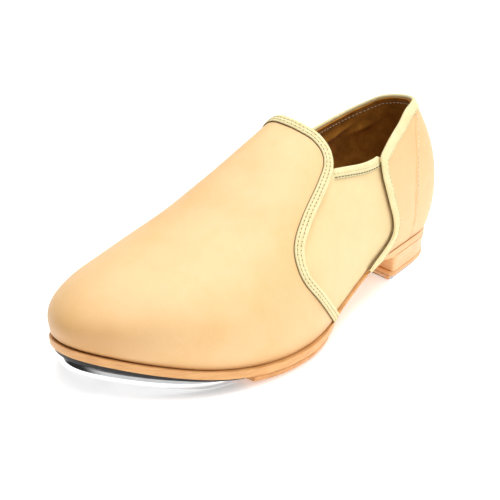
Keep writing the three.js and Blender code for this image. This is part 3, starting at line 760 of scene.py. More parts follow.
def heel_finish():
    """Painted heel: smooth lacquer over stacked board, with faint level lines."""
    finish = Finish("heel_tan", 0.4)
    stack = finish.bands(2.6, "Z", finish.place(), 0.5)
    patches = finish.noise(11, detail=4)
    colour = finish.ramp(patches, [(0.3, srgb(232, 180, 122)), (0.7, srgb(240, 192, 136))])
    colour = finish.mix(finish.scaled(stack, 0, 0.2, 0.16, 0), colour, srgb(176, 112, 66))
    colour = finish.mix(finish.product(finish.edge(), 0.6), colour, srgb(168, 104, 58))
    finish.colour(colour)
    finish.roughness(finish.scaled(finish.noise(2.2), 0.3, 0.7, 0.32, 0.46))
    finish.raise_by(stack, 0.05, 0.3)
    finish.raise_by(finish.noise(0.9, detail=4), 0.05, 0.25)
    finish.set("Coat Weight", 0.2)
    finish.set("Coat Roughness", 0.22)
    return finish.material


def board_finish(name, dark, light, roughness=0.6):
    """Pressed fibre board."""
    finish = Finish(name, roughness)
    fibres = finish.noise(0.8, detail=5, rough=0.65, stretch=(0.5, 0.5, 2.5))
    colour = finish.ramp(fibres, [(0.3, dark), (0.7, light)])
    finish.colour(colour)
    finish.roughness(finish.scaled(fibres, 0.3, 0.7, roughness - 0.12, roughness + 0.1))
    finish.raise_by(fibres, 0.1, 0.4)
    return finish.material


def metal_finish(name, tone, low, high, scratch):
    """Polished metal with fine scratches and faint smears."""
    finish = Finish(name, low, metallic=1.0)
    lines = finish.noise(0.5, detail=4, rough=0.6, stretch=(0.08, 1.6, 1.6))
    smear = finish.noise(7, detail=4)
    finish.colour(finish.ramp(smear, [(0.3, shaded(tone, 0.9)), (0.7, tone)]))
    finish.roughness(finish.scaled(lines, 0.35, 0.7, low, high))
    finish.raise_by(lines, scratch, 0.25)
    return finish.material


TAN = srgb(240, 198, 141)
TAN_DEEP = srgb(235, 190, 127)
TAN_WEAR_AND_SHADE = srgb(204, 148, 88)
QUARTER_TAN = srgb(238, 195, 138)

finishes = {
    "vamp": leather_finish("upper_leather", TAN, TAN_DEEP, TAN_WEAR_AND_SHADE),
    "quarter": leather_finish("upper_leather_back", QUARTER_TAN, srgb(235, 189, 131), TAN_WEAR_AND_SHADE),
    "gore": gore_finish(),
    "tape": tape_finish(),
    "thread_pale": thread_finish("thread_pale", srgb(238, 226, 182), srgb(196, 178, 126)),
    # The dark thread also colours the cord of painted shade along the quarter's front edges, and the dark
    # cord along the vamp tape's edge.
    "thread_dark_and_shade": thread_finish("thread_dark_and_shade", srgb(98, 66, 30), srgb(54, 34, 15)),
    "thread_white": thread_finish("thread_white", srgb(246, 236, 214), srgb(206, 186, 150)),
    "lining": suede_finish("lining_suede", srgb(146, 94, 28), srgb(178, 118, 42), srgb(206, 148, 66)),
    "sock": suede_finish("sock_lining", srgb(92, 60, 32), srgb(122, 84, 48), srgb(146, 104, 64)),
    "sole": sole_finish("sole_leather", srgb(232, 176, 112), srgb(216, 154, 90)),
    "pad": pad_finish(),
    "heel": heel_finish(),
    "lift": sole_finish("heel_lift", srgb(234, 182, 124), srgb(220, 162, 102)),
    "shim": board_finish("shim_board", srgb(12, 11, 10), srgb(30, 27, 24), 0.5),
    "board": board_finish("stiffener_board", srgb(186, 160, 118), srgb(220, 198, 158), 0.85),
    "cork": board_finish("cork_filler", srgb(120, 82, 46), srgb(178, 132, 84), 0.85),
    "alloy": metal_finish("tap_alloy", (0.96, 0.96, 0.97), 0.05, 0.13, 0.01),
    "screw": metal_finish("screw_steel", (0.56, 0.57, 0.58), 0.22, 0.4, 0.03),
    "shank": metal_finish("shank_steel", (0.4, 0.41, 0.42), 0.3, 0.5, 0.05),
}


# ---------- The upper's panels ----------
def rolled(distance, drop, over):
    """How far a panel's face turns down within that distance of its edge."""
    return drop * np.maximum(0, 1 - distance / over) ** 2


def thickness_of(depths):
    return depths[1] - depths[0]


def panel_grid(place, across, rise):
    """The spots of a grid, the surface's points there, and the two fractions that they come from."""
    s, t = np.meshgrid(across, rise, indexing="ij")
    spot = place(s, t)
    return spot, layer(spot, 0 * s), s, t


def finish_panel(name, node, spot, depth, thickness, material, edge, uv=None, to_toe=False):
    """A panel from its spots and the depth of its face. One that runs to the toe closes on itself there."""
    points, faces = shell(layer(spot, depth), layer(spot, depth + thickness), open_last=to_toe)
    both = lambda values: np.concatenate([values.reshape(-1, *values.shape[2:])] * 2)
    return make_piece(name, points, faces, finishes[material], [node],
                      uv=None if uv is None else both(uv), edge=both(edge), weld=to_toe, sharp=50)


def make_vamp():
    rise = crowded(56, ("low",), 1.25)
    rise = np.concatenate([rise / 2, 1 - rise[-2::-1] / 2])
    spot, points, s, _ = panel_grid(vamp_spot, crowded(96, ("low",), 1.15), rise)
    height = UPPER_HEIGHT * spot[..., 2]
    depth = rolled(height, 0.7, 1.4) - drift(points, 38, 0.45, 1) - drift(points, 15, 0.14, 2)
    # Soft hollows where the foot bends, in front of the gores.
    bend = bump_at(spot[..., 1], 0.66, 0.045) * bump_at(spot[..., 2], 0.3, 0.16)
    depth = depth + 0.5 * bend * smooth(0, 0.1, s)
    # Painted shade: the toe is coloured a deeper tan low down in front, where it faces away from the light.
    painted_toe_shade = 1.1 * smooth(196, 234, LAST_LENGTH * spot[..., 1]) * bump_at(points[..., 2], 26, 9)
    # The edge mark darkens the feather line and the vamp's edge, and also carries the painted toe shade.
    edge = np.maximum(np.maximum(bump_at(height, 0, 2.2), 0.35 * bump_at(s, 0, 0.02)), painted_toe_shade)
    finish_panel("vamp_leather", "vamp", spot, depth, LEATHER, "vamp", edge, to_toe=True)


def make_vamp_lining():
    start = 1 / 12
    spot, points, s, _ = panel_grid(lambda s, t: vamp_spot(lerp(start, 1, s), t), crowded(48, ("low",), 1.2),
                                    np.linspace(0, 1, 65))
    slack = np.abs(drift(points, 24, 0.5, 3)) * smooth(0, 0.12, s)
    depth = LINING_DEPTH[0] - 0.1 * smooth(0, 0.1, s) + slack
    finish_panel("vamp_lining_suede", "vamp_lining", spot, depth, thickness_of(LINING_DEPTH), "lining",
                 bump_at(s, 0, 0.02), to_toe=True)


def make_gore(side, name, node):
    spot, points, s, t = panel_grid(lambda s, t: gore_spot(side, s, t, GORE_MARGIN), np.linspace(0, 1, 41),
                                    crowded(44, ("low",), 1.1))
    depth = GORE_DEPTH[0] - 0.25 * np.sin(np.pi * s) * np.sin(np.pi * t) - drift(points, 20, 0.3, 5 + side)
    # The fabric dips in the middle, where it is free to stretch, and ripples faintly below its tape.
    depth = depth + 0.12 * np.sin(9 * s * np.pi) * bump_at(t, 0.86, 0.1) * np.sin(np.pi * s)
    # Painted shade: the fabric darkens along both sides, where it runs under the quarter and the vamp.
    sides = np.maximum(bump_at(s, 0, 0.1), bump_at(s, 1, 0.1))
    uv = np.stack([spot[..., 1] * UPPER_LENGTH, spot[..., 2] * 100], -1)
    piece = finish_panel(name, node, spot, depth, thickness_of(GORE_DEPTH), "gore",
                         0.5 * sides, uv=uv)


def make_seamed_panel(name, node, place, across, seam_distance, unevenness):
    """A panel of the back of the upper. seam_distance(s) is how far a point lies from the back seam."""
    spot, points, s, _ = panel_grid(place, across, crowded(40, ("low",), 1.2))
    height = UPPER_HEIGHT * spot[..., 2]
    from_seam = seam_distance(s)
    depth = rolled(height, 0.6, 1.4) + rolled(from_seam, 0.3, 0.8) - drift(points, *unevenness)
    edge = np.maximum(bump_at(height, 0, 2), 0.1 * bump_at(from_seam, 0, 0.7))
    finish_panel(name, node, spot, depth, LEATHER, "quarter", edge)


def make_quarter(side, name, node):
    make_seamed_panel(name, node, lambda s, t: quarter_spot(side, s, t), crowded(40, ("low",), 1.5),
                      lambda s: 30 * s, (26, 0.3, 8 + side))


def make_backstay():
    make_seamed_panel("backstay_leather", "backstay", lambda s, t: heel_spot(s, t, backstay_reach),
                      crowded(72, ("low", "high"), 1.3), lambda s: 118 * np.minimum(s, 1 - s), (24, 0.25, 11))


# Soft folds of the lining: (side, along, up, slope, half length, half width, height in millimetres).
FOLDS = [(-1, 0.2, 0.33, 0.55, 0.075, 0.017, 3.4), (-1, 0.15, 0.36, 0.7, 0.06, 0.014, 2.8),
         (-1, 0.235, 0.27, 0.5, 0.06, 0.017, 2.8), (-1, 0.09, 0.37, 0.8, 0.05, 0.017, 1.8),
         (1, 0.16, 0.36, -0.6, 0.06, 0.02, 1.0), (1, 0.22, 0.28, -0.5, 0.06, 0.024, 1.1)]


def fold_height(spot):
    total = np.zeros(spot.shape[:-1])
    for side, along, up, slope, length, width, height in FOLDS:
        run = (spot[..., 1] - along) * 1.6
        rise = spot[..., 2] - up
        size = math.hypot(1, slope)
        beside = (rise + slope * run) / size
        lengthwise = (run - slope * rise) / size
        total += height * (spot[..., 0] == side) * bump_at(beside, 0, width) * bump_at(lengthwise, 0, length)
    return total


def make_quarter_lining():
    spot, points, s, _ = panel_grid(lambda s, t: heel_spot(s, t, lining_reach), np.linspace(0, 1, 161),
                                    crowded(70, ("high",), 1.25))
    below_edge = UPPER_HEIGHT * (collar_height(spot[..., 0], spot[..., 1]) - spot[..., 2])
    rise = LINING_RISE * smooth(9, 4, below_edge) + 0.25 * bump_at(below_edge, 3.3, 0.8)
    free = smooth(4.5, 11, below_edge) * smooth(0, 0.04, s) * smooth(1, 0.96, s)
    folds = fold_height(spot) + np.abs(drift(points, 17, 0.9, 21)) + np.abs(drift(points, 8, 0.25, 22))
    depth = LINING_DEPTH[0] - rise + folds * free
    edge = np.maximum(bump_at(s, 0, 0.01), bump_at(s, 1, 0.01))
    finish_panel("quarter_lining_suede", "quarter_lining", spot, depth, thickness_of(LINING_DEPTH), "lining",
                 edge)


# ---------- Tapes and stitches ----------
def tape_section(inner_depth, rows, inner_width=TAPE_INNER_WIDTH, face=-0.78):
    """The closed outline of a folded tape as (distance in from the edge, depth), and where each point
    lies across the tape. rows are the distances of its stitch rows, which press it down."""
    width = TAPE_WIDTH
    inner_face = inner_depth + 0.38
    pressed = lambda d: sum(0.16 * bump_at(d, row, 0.42) for row in rows)
    outer = [(d, face + 0.42 * max(0, 1 - (width - d) / 0.7) ** 2 + pressed(d)
              - 0.08 * math.sin(math.pi * d / width)) for d in np.linspace(width, 0.15, TAPE_FACE_POINTS)]
    middle, half = (face + inner_face) / 2, (inner_face - face) / 2
    fold = [(0.02 - 1.1 * math.cos(a), middle + half * math.sin(a))
            for a in np.radians(np.linspace(-78, 78, 11))]
    leg = [(d, inner_face - pressed(d)) for d in np.linspace(0.3, inner_width, 9)]
    inside = [(inner_width, inner_depth + 0.08), (-0.45, inner_depth + 0.02), (-0.62, middle), (-0.45, -0.3),
              (width - 0.5, -0.16), (width, -0.12)]
    section = np.array(outer + fold + leg + inside)
    return section, run_along(section)


def tape(path, span, towards, fan, inner_depth, rows, count, panel_depth=None, **shape):
    """(points, faces, uv, edge) of a tape folded over the line path(t) for t in span. panel_depth(t) is how
    deep the folded panel lies."""
    section, across = tape_section(inner_depth, rows, **shape)
    t = np.linspace(*span, count)
    walk = walk_from(path, t, towards, fan)
    base = 0 * t if panel_depth is None else panel_depth(t)
    rings = np.stack([layer(walk(distance), base + depth) for distance, depth in section], 1)
    points, faces = tube_of(rings)
    run = run_along(rings[:, TAPE_FACE_POINTS])
    uv = np.stack(np.broadcast_arrays(run[:, None], across[None, :]), -1).reshape(-1, 2)
    edge = np.broadcast_to(bump_at(across, 0, 0.35), (count, len(section))).reshape(-1)
    return points, faces, uv, edge


def make_tape(name, nodes, *details, **more):
    points, faces, uv, edge = tape(*details, **more)
    make_piece(name, points, faces, finishes["tape"], nodes, uv=uv, edge=edge, sharp=60)


def line_on(path, span, towards, fan, distance, depth, samples=900):
    """Points and normals of a line that runs beside path at that distance and depth."""
    t = np.linspace(*span, samples)
    spot = walk_from(path, t, towards, fan)(distance)
    return layer(spot, depth + 0 * t), outward(spot)


def stations(points, normals, shift):
    """Places one stitch apart on a line, with the direction of the line and its normal there."""
    run = run_along(points)
    count = max(2, int(run[-1] / STITCH_PITCH))
    at = (np.arange(count) + shift) * run[-1] / count
    at = at[at <= run[-1]]
    pick = lambda values, where: np.stack([np.interp(where, run, values[:, k]) for k in range(3)], -1)
    ahead = unit(pick(points, at + 0.4) - pick(points, at - 0.4))
    return pick(points, at), ahead, unit(pick(normals, at))


def stitches(points, normals, length=1.75, radius=0.2):
    """A row of sewn stitches: each a short thread that dives into the material at both ends."""
    centres, ahead, up = stations(points, normals, shift=0.5)
    side = unit(np.cross(ahead, up))
    along = np.array([-1, -0.8, -0.4, 0, 0.4, 0.8, 1.0])
    lift = radius * (0.75 - 1.35 * along ** 4)
    thick = radius * np.sqrt(1.02 - along ** 6)
    parts = []
    turns = ring_turns(6)
    for centre, a, n, b in zip(centres, ahead, up, side):
        rings = np.array([centre + a * x * length / 2 + n * h + np.outer(np.cos(turns), b) * r
                          + np.outer(np.sin(turns), n) * r for x, h, r in zip(along, lift, thick)])
        parts.append(tube_of(rings))
    return packed(parts)


def knots(points, normals):
    """The dark twist of thread in each needle hole, half sunk in the tape."""
    centres, ahead, up = stations(points, normals, shift=0.0)
    side = unit(np.cross(ahead, up))
    turns = ring_turns(7)
    levels = ((-0.14, 0.5), (0.0, 1.0), (0.07, 0.75), (0.1, 0.3))
    parts = []
    for centre, a, n, b in zip(centres, ahead, up, side):
        oval = np.outer(np.cos(turns), a) * 1.25 + np.outer(np.sin(turns), b)
        rings = [centre + n * height + oval * share * KNOT_RADIUS for height, share in levels]
        parts.append(tube_of(np.array(rings)))
    return packed(parts)


def fine_cord(points, normals, radius):
    """A thin cord that runs the whole length of a line."""
    points, normals = points[::3], normals[::3]
    ahead = unit(np.gradient(points, axis=0))
    side = unit(np.cross(ahead, normals))
    turns = ring_turns(6)
    rings = (points[:, None] + np.cos(turns)[None, :, None] * side[:, None] * radius
             + np.sin(turns)[None, :, None] * normals[:, None] * radius)
    return tube_of(rings)


def add_threads(name, parts, material):
    points, faces = packed(parts)
    make_piece(name, points, faces, finishes[material], sharp=80)


# Each tape's line: path, the span of it that is taped, the direction into the panel, and the corner fan.
VAMP_LINE = (lambda t: vamp_spot(np.zeros_like(t), t), (0.006, 0.994), FORWARD, 0.0)
RIM_PATH, RIM_TOWARDS = rim_line()
RIM_LINE = (RIM_PATH, (0.0, 1.0), RIM_TOWARDS, 2.6)
SIDES = ((1, "lateral"), (-1, "medial"))


def gore_line(side):
    return (lambda s: gore_spot(side, s, np.ones_like(s)), (0.0, 1.0), DOWNWARD, 0.0)


def gore_tape_depth(s):
    """The gore's tape dives under the quarter's tape and the vamp's at its two ends."""
    return GORE_DEPTH[0] + 1.0 * (smooth(0.1, 0.0, s) + smooth(0.9, 1.0, s))


def make_tapes():
    make_tape("vamp_tape", ["vamp_binding"], *VAMP_LINE, 1.4, VAMP_ROWS, 420)
    make_tape("rim_tape", ["collar_binding", "quarter_binding_lateral", "quarter_binding_medial"], *RIM_LINE,
              1.16, (RIM_ROW,), 760, inner_width=1.6, face=-0.62)
    for side, word in SIDES:
        make_tape(f"gore_tape_{word}", [f"gore_binding_{word}"], *gore_line(side), 1.15, GORE_ROWS, 150,
                  panel_depth=gore_tape_depth)


def stitch_vamp():
    rows = [line_on(*VAMP_LINE, row, -0.66) for row in VAMP_ROWS]
    add_threads("vamp_tape_stitches", [stitches(*row) for row in rows], "thread_pale")
    add_threads("vamp_tape_knots", [knots(*row) for row in rows], "thread_dark_and_shade")
    # A thin dark cord along the vamp tape's cut edge.
    add_threads("vamp_tape_edge_dark_cord", [fine_cord(*line_on(*VAMP_LINE, 4.66, -0.12), 0.17)], "thread_dark_and_shade")


def stitch_side(side, word):
    """The gore tape's two rows, a dark cord of painted shade along the fold of the quarter's front edge, and
    the back seam.
    """
    path, _, towards, fan = gore_line(side)
    high, low = (line_on(path, (0.05, 0.95), towards, fan, row, GORE_DEPTH[0] - 0.69) for row in GORE_ROWS)
    add_threads(f"gore_tape_stitches_{word}", [stitches(*low, radius=0.24)], "thread_dark_and_shade")
    add_threads(f"gore_tape_top_stitches_{word}", [stitches(*high)], "thread_pale")
    front = (0.765, 1.0) if side > 0 else (0.0, 0.235)
    # Painted shade: a dark cord laid along the fold of the quarter's front edge, over the gore.
    fold_shade_line = line_on(RIM_PATH, front, RIM_TOWARDS, 0.0, -1.0, 0.7)
    add_threads(f"quarter_fold_shade_cord_{word}", [fine_cord(*fold_shade_line, 0.3)], "thread_dark_and_shade")
    seam = line_on(lambda t: heel_spot(float(side > 0) + 0 * t, t, backstay_reach), (0.03, 0.93), BACKWARD,
                   0.0, 1.7, -0.04)
    add_threads(f"back_seam_stitches_{word}", [stitches(*seam)], "thread_white")


def stitch_rim():
    outside = line_on(*RIM_LINE, RIM_ROW, -0.5, samples=1600)
    add_threads("rim_tape_stitches", [stitches(*outside)], "thread_pale")
    points, normals = line_on(RIM_PATH, (0.25, 0.75), RIM_TOWARDS, 0.0, 3.3, 2.34, samples=1200)
    inside = stitches(points, -normals, radius=0.3, length=1.6)
    add_threads("collar_inside_stitches", [inside], "thread_white")


# ---------- The sole, heel and taps ----------
def sole_top(x):
    return feather_height(x) - GAP


def sole_bottom(x):
    return sole_top(x) - SOLE_THICKNESS


def under_sole(x):
    return sole_bottom(x) - GAP


def shim_bottom(x):
    return under_sole(x) - lerp(*SHIM_THICKNESS, (x - TOE_TAP_START) / (LAST_LENGTH - TOE_TAP_START))


def toe_tap_bottom(x):
    return np.maximum(0, spring_rise(x) - TOE_TAP_RIM)


def insole_top(x):
    return feather_height(x) + 2.9


HEEL_BLOCK_BOTTOM = HEEL_TAP_THICKNESS + GAP + TOP_LIFT_THICKNESS + GAP


def respaced(points, spacing):
    """A closed line of points again, evenly spaced."""
    closed = np.vstack([points, points[:1]])
    run = run_along(closed)
    at = np.linspace(0, run[-1], max(12, int(run[-1] / spacing)) + 1)[:-1]
    return np.stack([np.interp(at, run, closed[:, k]) for k in range(2)], -1)


def loop_normals(points):
    ahead = unit(np.roll(points, -1, 0) - np.roll(points, 1, 0))
    normals = np.stack([ahead[:, 1], -ahead[:, 0]], -1)
    area = (points[:, 0] * np.roll(points[:, 1], -1) - points[:, 1] * np.roll(points[:, 0], -1)).sum()
    return normals if area > 0 else -normals


def along_at(side, x):
    """The outline's own measure, 0 at the heel and 1 at the toe, of the places at those x."""
    places = np.linspace(0, 1, 2001)
    return np.interp(x, outline_at(side, places)[0][:, 0], places)


def outline_loop(inset, spacing=1.5):
    """The whole outline, moved in by inset(x)."""
    u = np.linspace(0, 1, 1201)[:-1]
    points = respaced(outline(u), spacing)
    return points - loop_normals(points) * inset(points[:, :1])


def rounded_corners(points, corner_places, radius, spacing):
    """The loop with the corners nearest those places rounded off."""
    points = respaced(points, spacing / 3)
    for place in corner_places:
        middle = int(np.linalg.norm(points - place, axis=1).argmin())
        reach = max(2, int(radius / (spacing / 3)))
        index = np.arange(middle - reach, middle + reach + 1) % len(points)
        t = np.linspace(0, 1, len(index))[:, None]
        points[index] = (points[index[0]] * (1 - t) ** 2 + 2 * points[middle] * t * (1 - t)
                         + points[index[-1]] * t ** 2)
    return respaced(points, spacing)


def part_loop(start, end, inset, front=None, radius=2.0):
    """The outline between x = start and x = end, closed by the straight or bowed line front(y)."""
    sides = []
    for side in (1, -1):
        low = along_at(side, start) if start > 0 else 0.0
        high = along_at(side, end) if end < LAST_LENGTH else 1.0
        edge, normal = outline_at(side, np.linspace(low, high, 160))
        sides.append(edge - normal * inset(edge[:, :1]))
    if start > 0:
        loop = np.vstack([sides[0], sides[1][::-1]])
        corners = [sides[0][0], sides[1][0]]
    else:
        loop = np.vstack([sides[0][::-1], sides[1]])
        corners = [sides[0][-1], sides[1][-1]]
    first, last = loop[-1], loop[0]
    t = np.linspace(0, 1, 60)[1:-1, None]
    closing = lerp(first, last, t)
    if front is not None:
        closing[:, 0] += front(2 * t[:, 0] - 1)
    return rounded_corners(np.vstack([loop, closing]), corners, radius, LOOP_SPACING)


def inside_loop(points, loop):
    """Which points lie inside a closed loop."""
    x, y = points[:, :1], points[:, 1:2]
    a, b = loop, np.roll(loop, -1, 0)
    crosses = (a[:, 1] > y) != (b[:, 1] > y)
    with np.errstate(divide="ignore", invalid="ignore"):
        at = a[:, 0] + (y - a[:, 1]) * (b[:, 0] - a[:, 0]) / (b[:, 1] - a[:, 1])
    return (crosses & (x < at)).sum(1) % 2 == 1


def filled(loops, spacing):
    """The points and triangles of a face bounded by the first loop, with the others cut out. The loops'
    own points come first."""
    outer = loops[0]
    low, high = outer.min(0), outer.max(0)
    xs, ys = np.arange(low[0], high[0], spacing), np.arange(low[1], high[1], spacing)
    inner = np.stack(np.meshgrid(xs, ys), -1).reshape(-1, 2)
    keep = inside_loop(inner, outer)
    for loop in loops:
        keep &= np.linalg.norm(inner[:, None] - loop[None], axis=2).min(1) > spacing * 0.4
    for loop in loops[1:]:
        keep &= ~inside_loop(inner, loop)
    points = np.vstack([*loops, inner[keep]])
    edges, first = [], 0
    for loop in loops:
        edges += [(first + i, first + (i + 1) % len(loop)) for i in range(len(loop))]
        first += len(loop)
    made = geometry.delaunay_2d_cdt([Vector(p) for p in points], edges, [], 0, 1e-7, True)
    triangles = np.array([list(f) for f in made[2] if len(f) == 3])
    places = np.array([list(v) for v in made[0]])
    middle = places[triangles].mean(1)
    keep = inside_loop(middle, outer)
    for loop in loops[1:]:
        keep &= ~inside_loop(middle, loop)
    order = np.array([origin[0] for origin in made[3]])
    return points, order[triangles[keep]].tolist()


def slab(loop, profile, holes=(), spacing=5.0):
    """A closed plate, with the number of its points that lie round its edge. profile lists (inset, height)
    from the top face's rim to the bottom face's; holes lists each hole's 3-D rings, in the same order."""
    normals = loop_normals(loop)
    rings = []
    for inset, height in profile:
        flat = loop - normals * (inset(loop[:, :1]) if callable(inset) else inset)
        rings.append(np.column_stack([flat, height(flat[:, 0])]))
    size = len(loop)
    parts_points = [np.vstack(rings)]
    faces = grid_faces(len(rings), size, ring=True)
    hole_starts, total = [], len(rings) * size
    for hole in holes:
        hole_starts.append(total)
        faces += grid_faces(len(hole), len(hole[0]), first=total, ring=True, flip=True)
        parts_points.append(np.vstack(hole))
        total += len(hole) * len(hole[0])
    for which, face_height, flip in ((0, profile[0][1], False), (-1, profile[-1][1], True)):
        loops = [rings[which][:, :2]] + [np.asarray(hole[which])[:, :2] for hole in holes]
        flat, triangles = filled(loops, spacing)
        names = list(range(size)) if which == 0 else [(len(rings) - 1) * size + i for i in range(size)]
        for start, hole in zip(hole_starts, holes):
            offset = start if which == 0 else start + (len(hole) - 1) * len(hole[0])
            names += [offset + i for i in range(len(hole[0]))]
        extra = flat[len(names):]
        names += list(range(total, total + len(extra)))
        parts_points.append(np.column_stack([extra, face_height(extra[:, 0])]))
        total += len(extra)
        for triangle in triangles:
            corners = [names[i] for i in triangle]
            faces.append(corners[::-1] if flip else corners)
    return np.vstack(parts_points), faces, len(rings) * size


def hole_rings(x, y, base, tilt, levels):
    """Rings of a screw hole. levels lists (radius, height) where height is a number above the hole's base
    along its axis, or a function of x where the ring lies in a face of the plate."""
    turns = ring_turns(28)
    rings = []
    for radius, height in levels:
        above = 0.0 if callable(height) else height
        across = radius * np.cos(turns)
        ring = np.column_stack([x + across * math.cos(tilt) - above * math.sin(tilt),
                                y + radius * np.sin(turns),
                                base + across * math.sin(tilt) + above * math.cos(tilt)])
        if callable(height):
            rise = height(np.array([x]))[0] - base
            ring[:, 0] -= rise * math.sin(tilt)
            ring[:, 2] = height(ring[:, 0])
        rings.append(ring)
    return rings


def toe_holes(levels):
    holes = []
    for x, y in TOE_SCREWS:
        tilt = math.atan((toe_tap_bottom(x + 1.0) - toe_tap_bottom(x - 1.0)) / 2)
        holes.append(hole_rings(x, y, float(toe_tap_bottom(x)), tilt, levels))
    return holes


def heel_holes(levels):
    return [hole_rings(x, y, 0.0, 0.0, levels) for x, y in HEEL_SCREWS]


def rounded_edge(top, bottom, inset_top, inset_bottom, radius, wave=None, steps=9):
    """The profile of a plate's edge with its two rims rounded."""
    profile = [(inset_top + radius, top)]
    for angle in np.radians([30, 60, 90]):
        drop = radius * (1 - math.cos(angle))
        profile.append((inset_top + radius * (1 - math.sin(angle)), lambda x, d=drop: top(x) - d))
    for share in np.linspace(0, 1, steps)[1:-1]:
        inset = lerp(inset_top, inset_bottom, share) - (wave(share) if wave else 0)
        profile.append((inset, lambda x, k=share: lerp(top(x) - radius, bottom(x) + radius, k)))
    for angle in np.radians([90, 60, 30]):
        drop = radius * (1 - math.cos(angle))
        profile.append((inset_bottom + radius * (1 - math.sin(angle)), lambda x, d=drop: bottom(x) + d))
    profile.append((inset_bottom + radius, bottom))
    return profile


def level(value):
    return lambda x: value + 0 * x


def make_slab(name, node, loop, profile, material, holes, rim=None, sharp=38):
    points, faces, _ = slab(loop, profile, holes)
    edge = np.zeros(len(points))
    if rim is not None:
        size = len(loop)
        for i in range(len(profile)):
            edge[i * size:(i + 1) * size] = rim(i / (len(profile) - 1))
    make_piece(name, points, faces, finishes[material], [node], edge=edge, sharp=sharp)


def make_outsole():
    """Its edge has a short upright lip, and is bevelled under the waist."""
    loop = outline_loop(sole_inset)
    wave = lambda share: 0.12 * math.sin(math.pi * share)
    profile = rounded_edge(sole_top, sole_bottom, 0.0, 0.15, 0.32, wave, steps=12)
    last = len(profile) - 1
    sloped = [(lambda x, inset=inset, k=k / last: inset + sole_bevel(x) * max(0, k - 0.25) / 0.75, height)
              for k, (inset, height) in enumerate(profile)]
    holes = toe_holes([(SHANK_HOLE, sole_top), (SHANK_HOLE, sole_bottom)])
    points, faces, rim_points = slab(loop, sloped, holes)
    share = np.zeros(len(points))
    share[:rim_points] = np.repeat(np.arange(last + 1) / last, len(loop))
    edge = 0.8 * bump_at(share, 0, 0.12) + 0.5 * bump_at(share, 1, 0.1)
    edge *= (np.arange(len(points)) < rim_points) * smooth(60, 78, points[:, 0])
    make_piece("outsole_leather", points, faces, finishes["sole"], ["outsole"], edge=edge,
               marks={"heel_paint": smooth(78, 60, points[:, 0])}, sharp=38)


def make_toe_shim():
    loop = part_loop(TOE_TAP_START - 1, LAST_LENGTH, lambda x: 0.6 + 0 * x)
    profile = rounded_edge(under_sole, shim_bottom, 0.0, 0.1, 0.25, steps=4)
    holes = toe_holes([(SHANK_HOLE, under_sole), (SHANK_HOLE, shim_bottom)])
    make_slab("toe_shim_board", "toe_shim", loop, profile, "shim", holes)


def tap_levels(top, bottom):
    """A countersunk hole with its mouth softened."""
    soft = 0.22
    return [(SHANK_HOLE, top), (SHANK_HOLE, 2.1), (HEAD_HOLE, 0.5), (HEAD_HOLE, soft),
            (HEAD_HOLE + soft, bottom)]


def make_toe_tap():
    inset = lambda x: lerp(8.0, 1.4, (x - TOE_TAP_START) / (LAST_LENGTH - TOE_TAP_START))
    top = lambda x: shim_bottom(x) - GAP
    loop = part_loop(TOE_TAP_START, LAST_LENGTH, inset, radius=3)
    crown = lambda share: 0.42 * math.sin(math.pi * share)
    profile = rounded_edge(top, toe_tap_bottom, 1.3, 0.0, 0.3, crown)
    holes = toe_holes(tap_levels(top, toe_tap_bottom))
    make_slab("toe_tap_plate", "toe_tap", loop, profile, "alloy", holes, sharp=30)


def heel_loop(inset):
    bow = lambda t: -BREAST_BOW * (1 - t * t)
    return part_loop(0, HEEL_FRONT, lambda x: inset + 0 * x, front=bow, radius=4.5)


def make_heel():
    """The stacked block, its top lift and the tap under it, with the cemented joints closed."""
    block_top = lambda x: under_sole(x) + CEMENT
    flare = lambda share: -0.25 * math.sin(math.pi * share)
    profile = rounded_edge(block_top, level(HEEL_BLOCK_BOTTOM), -0.3, 0.7, 0.1, flare, steps=14)
    holes = heel_holes([(SHANK_HOLE, block_top), (SHANK_HOLE, level(HEEL_BLOCK_BOTTOM))])
    make_slab("heel_block_stack", "heel_block", heel_loop(0.3), profile, "heel", holes,
              rim=lambda k: 0.45 * bump_at(k, 1, 0.05))
    top, bottom = HEEL_BLOCK_BOTTOM - GAP + CEMENT, HEEL_TAP_THICKNESS + GAP
    lip = lambda share: 0.25 * math.sin(math.pi * share)
    profile = rounded_edge(level(top), level(bottom), -0.2, 0.1, 0.3, lip)
    holes = heel_holes([(SHANK_HOLE, level(top)), (SHANK_HOLE, level(bottom))])
    make_slab("heel_top_lift_leather", "heel_top_lift", heel_loop(1.0), profile, "lift", holes,
              rim=lambda k: 0.6 * bump_at(k, 1, 0.2))
    profile = rounded_edge(level(HEEL_TAP_THICKNESS), level(0.0), 0.6, -0.25, 0.3, lip)
    holes = heel_holes(tap_levels(level(HEEL_TAP_THICKNESS), level(0.0)))
    make_slab("heel_tap_plate", "heel_tap", heel_loop(2.25), profile, "alloy", holes, sharp=30)


# The slope of the pad's edge as (inset, height from the top face). None stands for its bottom face.
PAD_EDGE = [(0.8, 0.0), (0.52, -0.25), (0.5, -0.6), (0.9, -1.6), (1.35, -2.5), (1.7, -2.95), (2.3, None)]


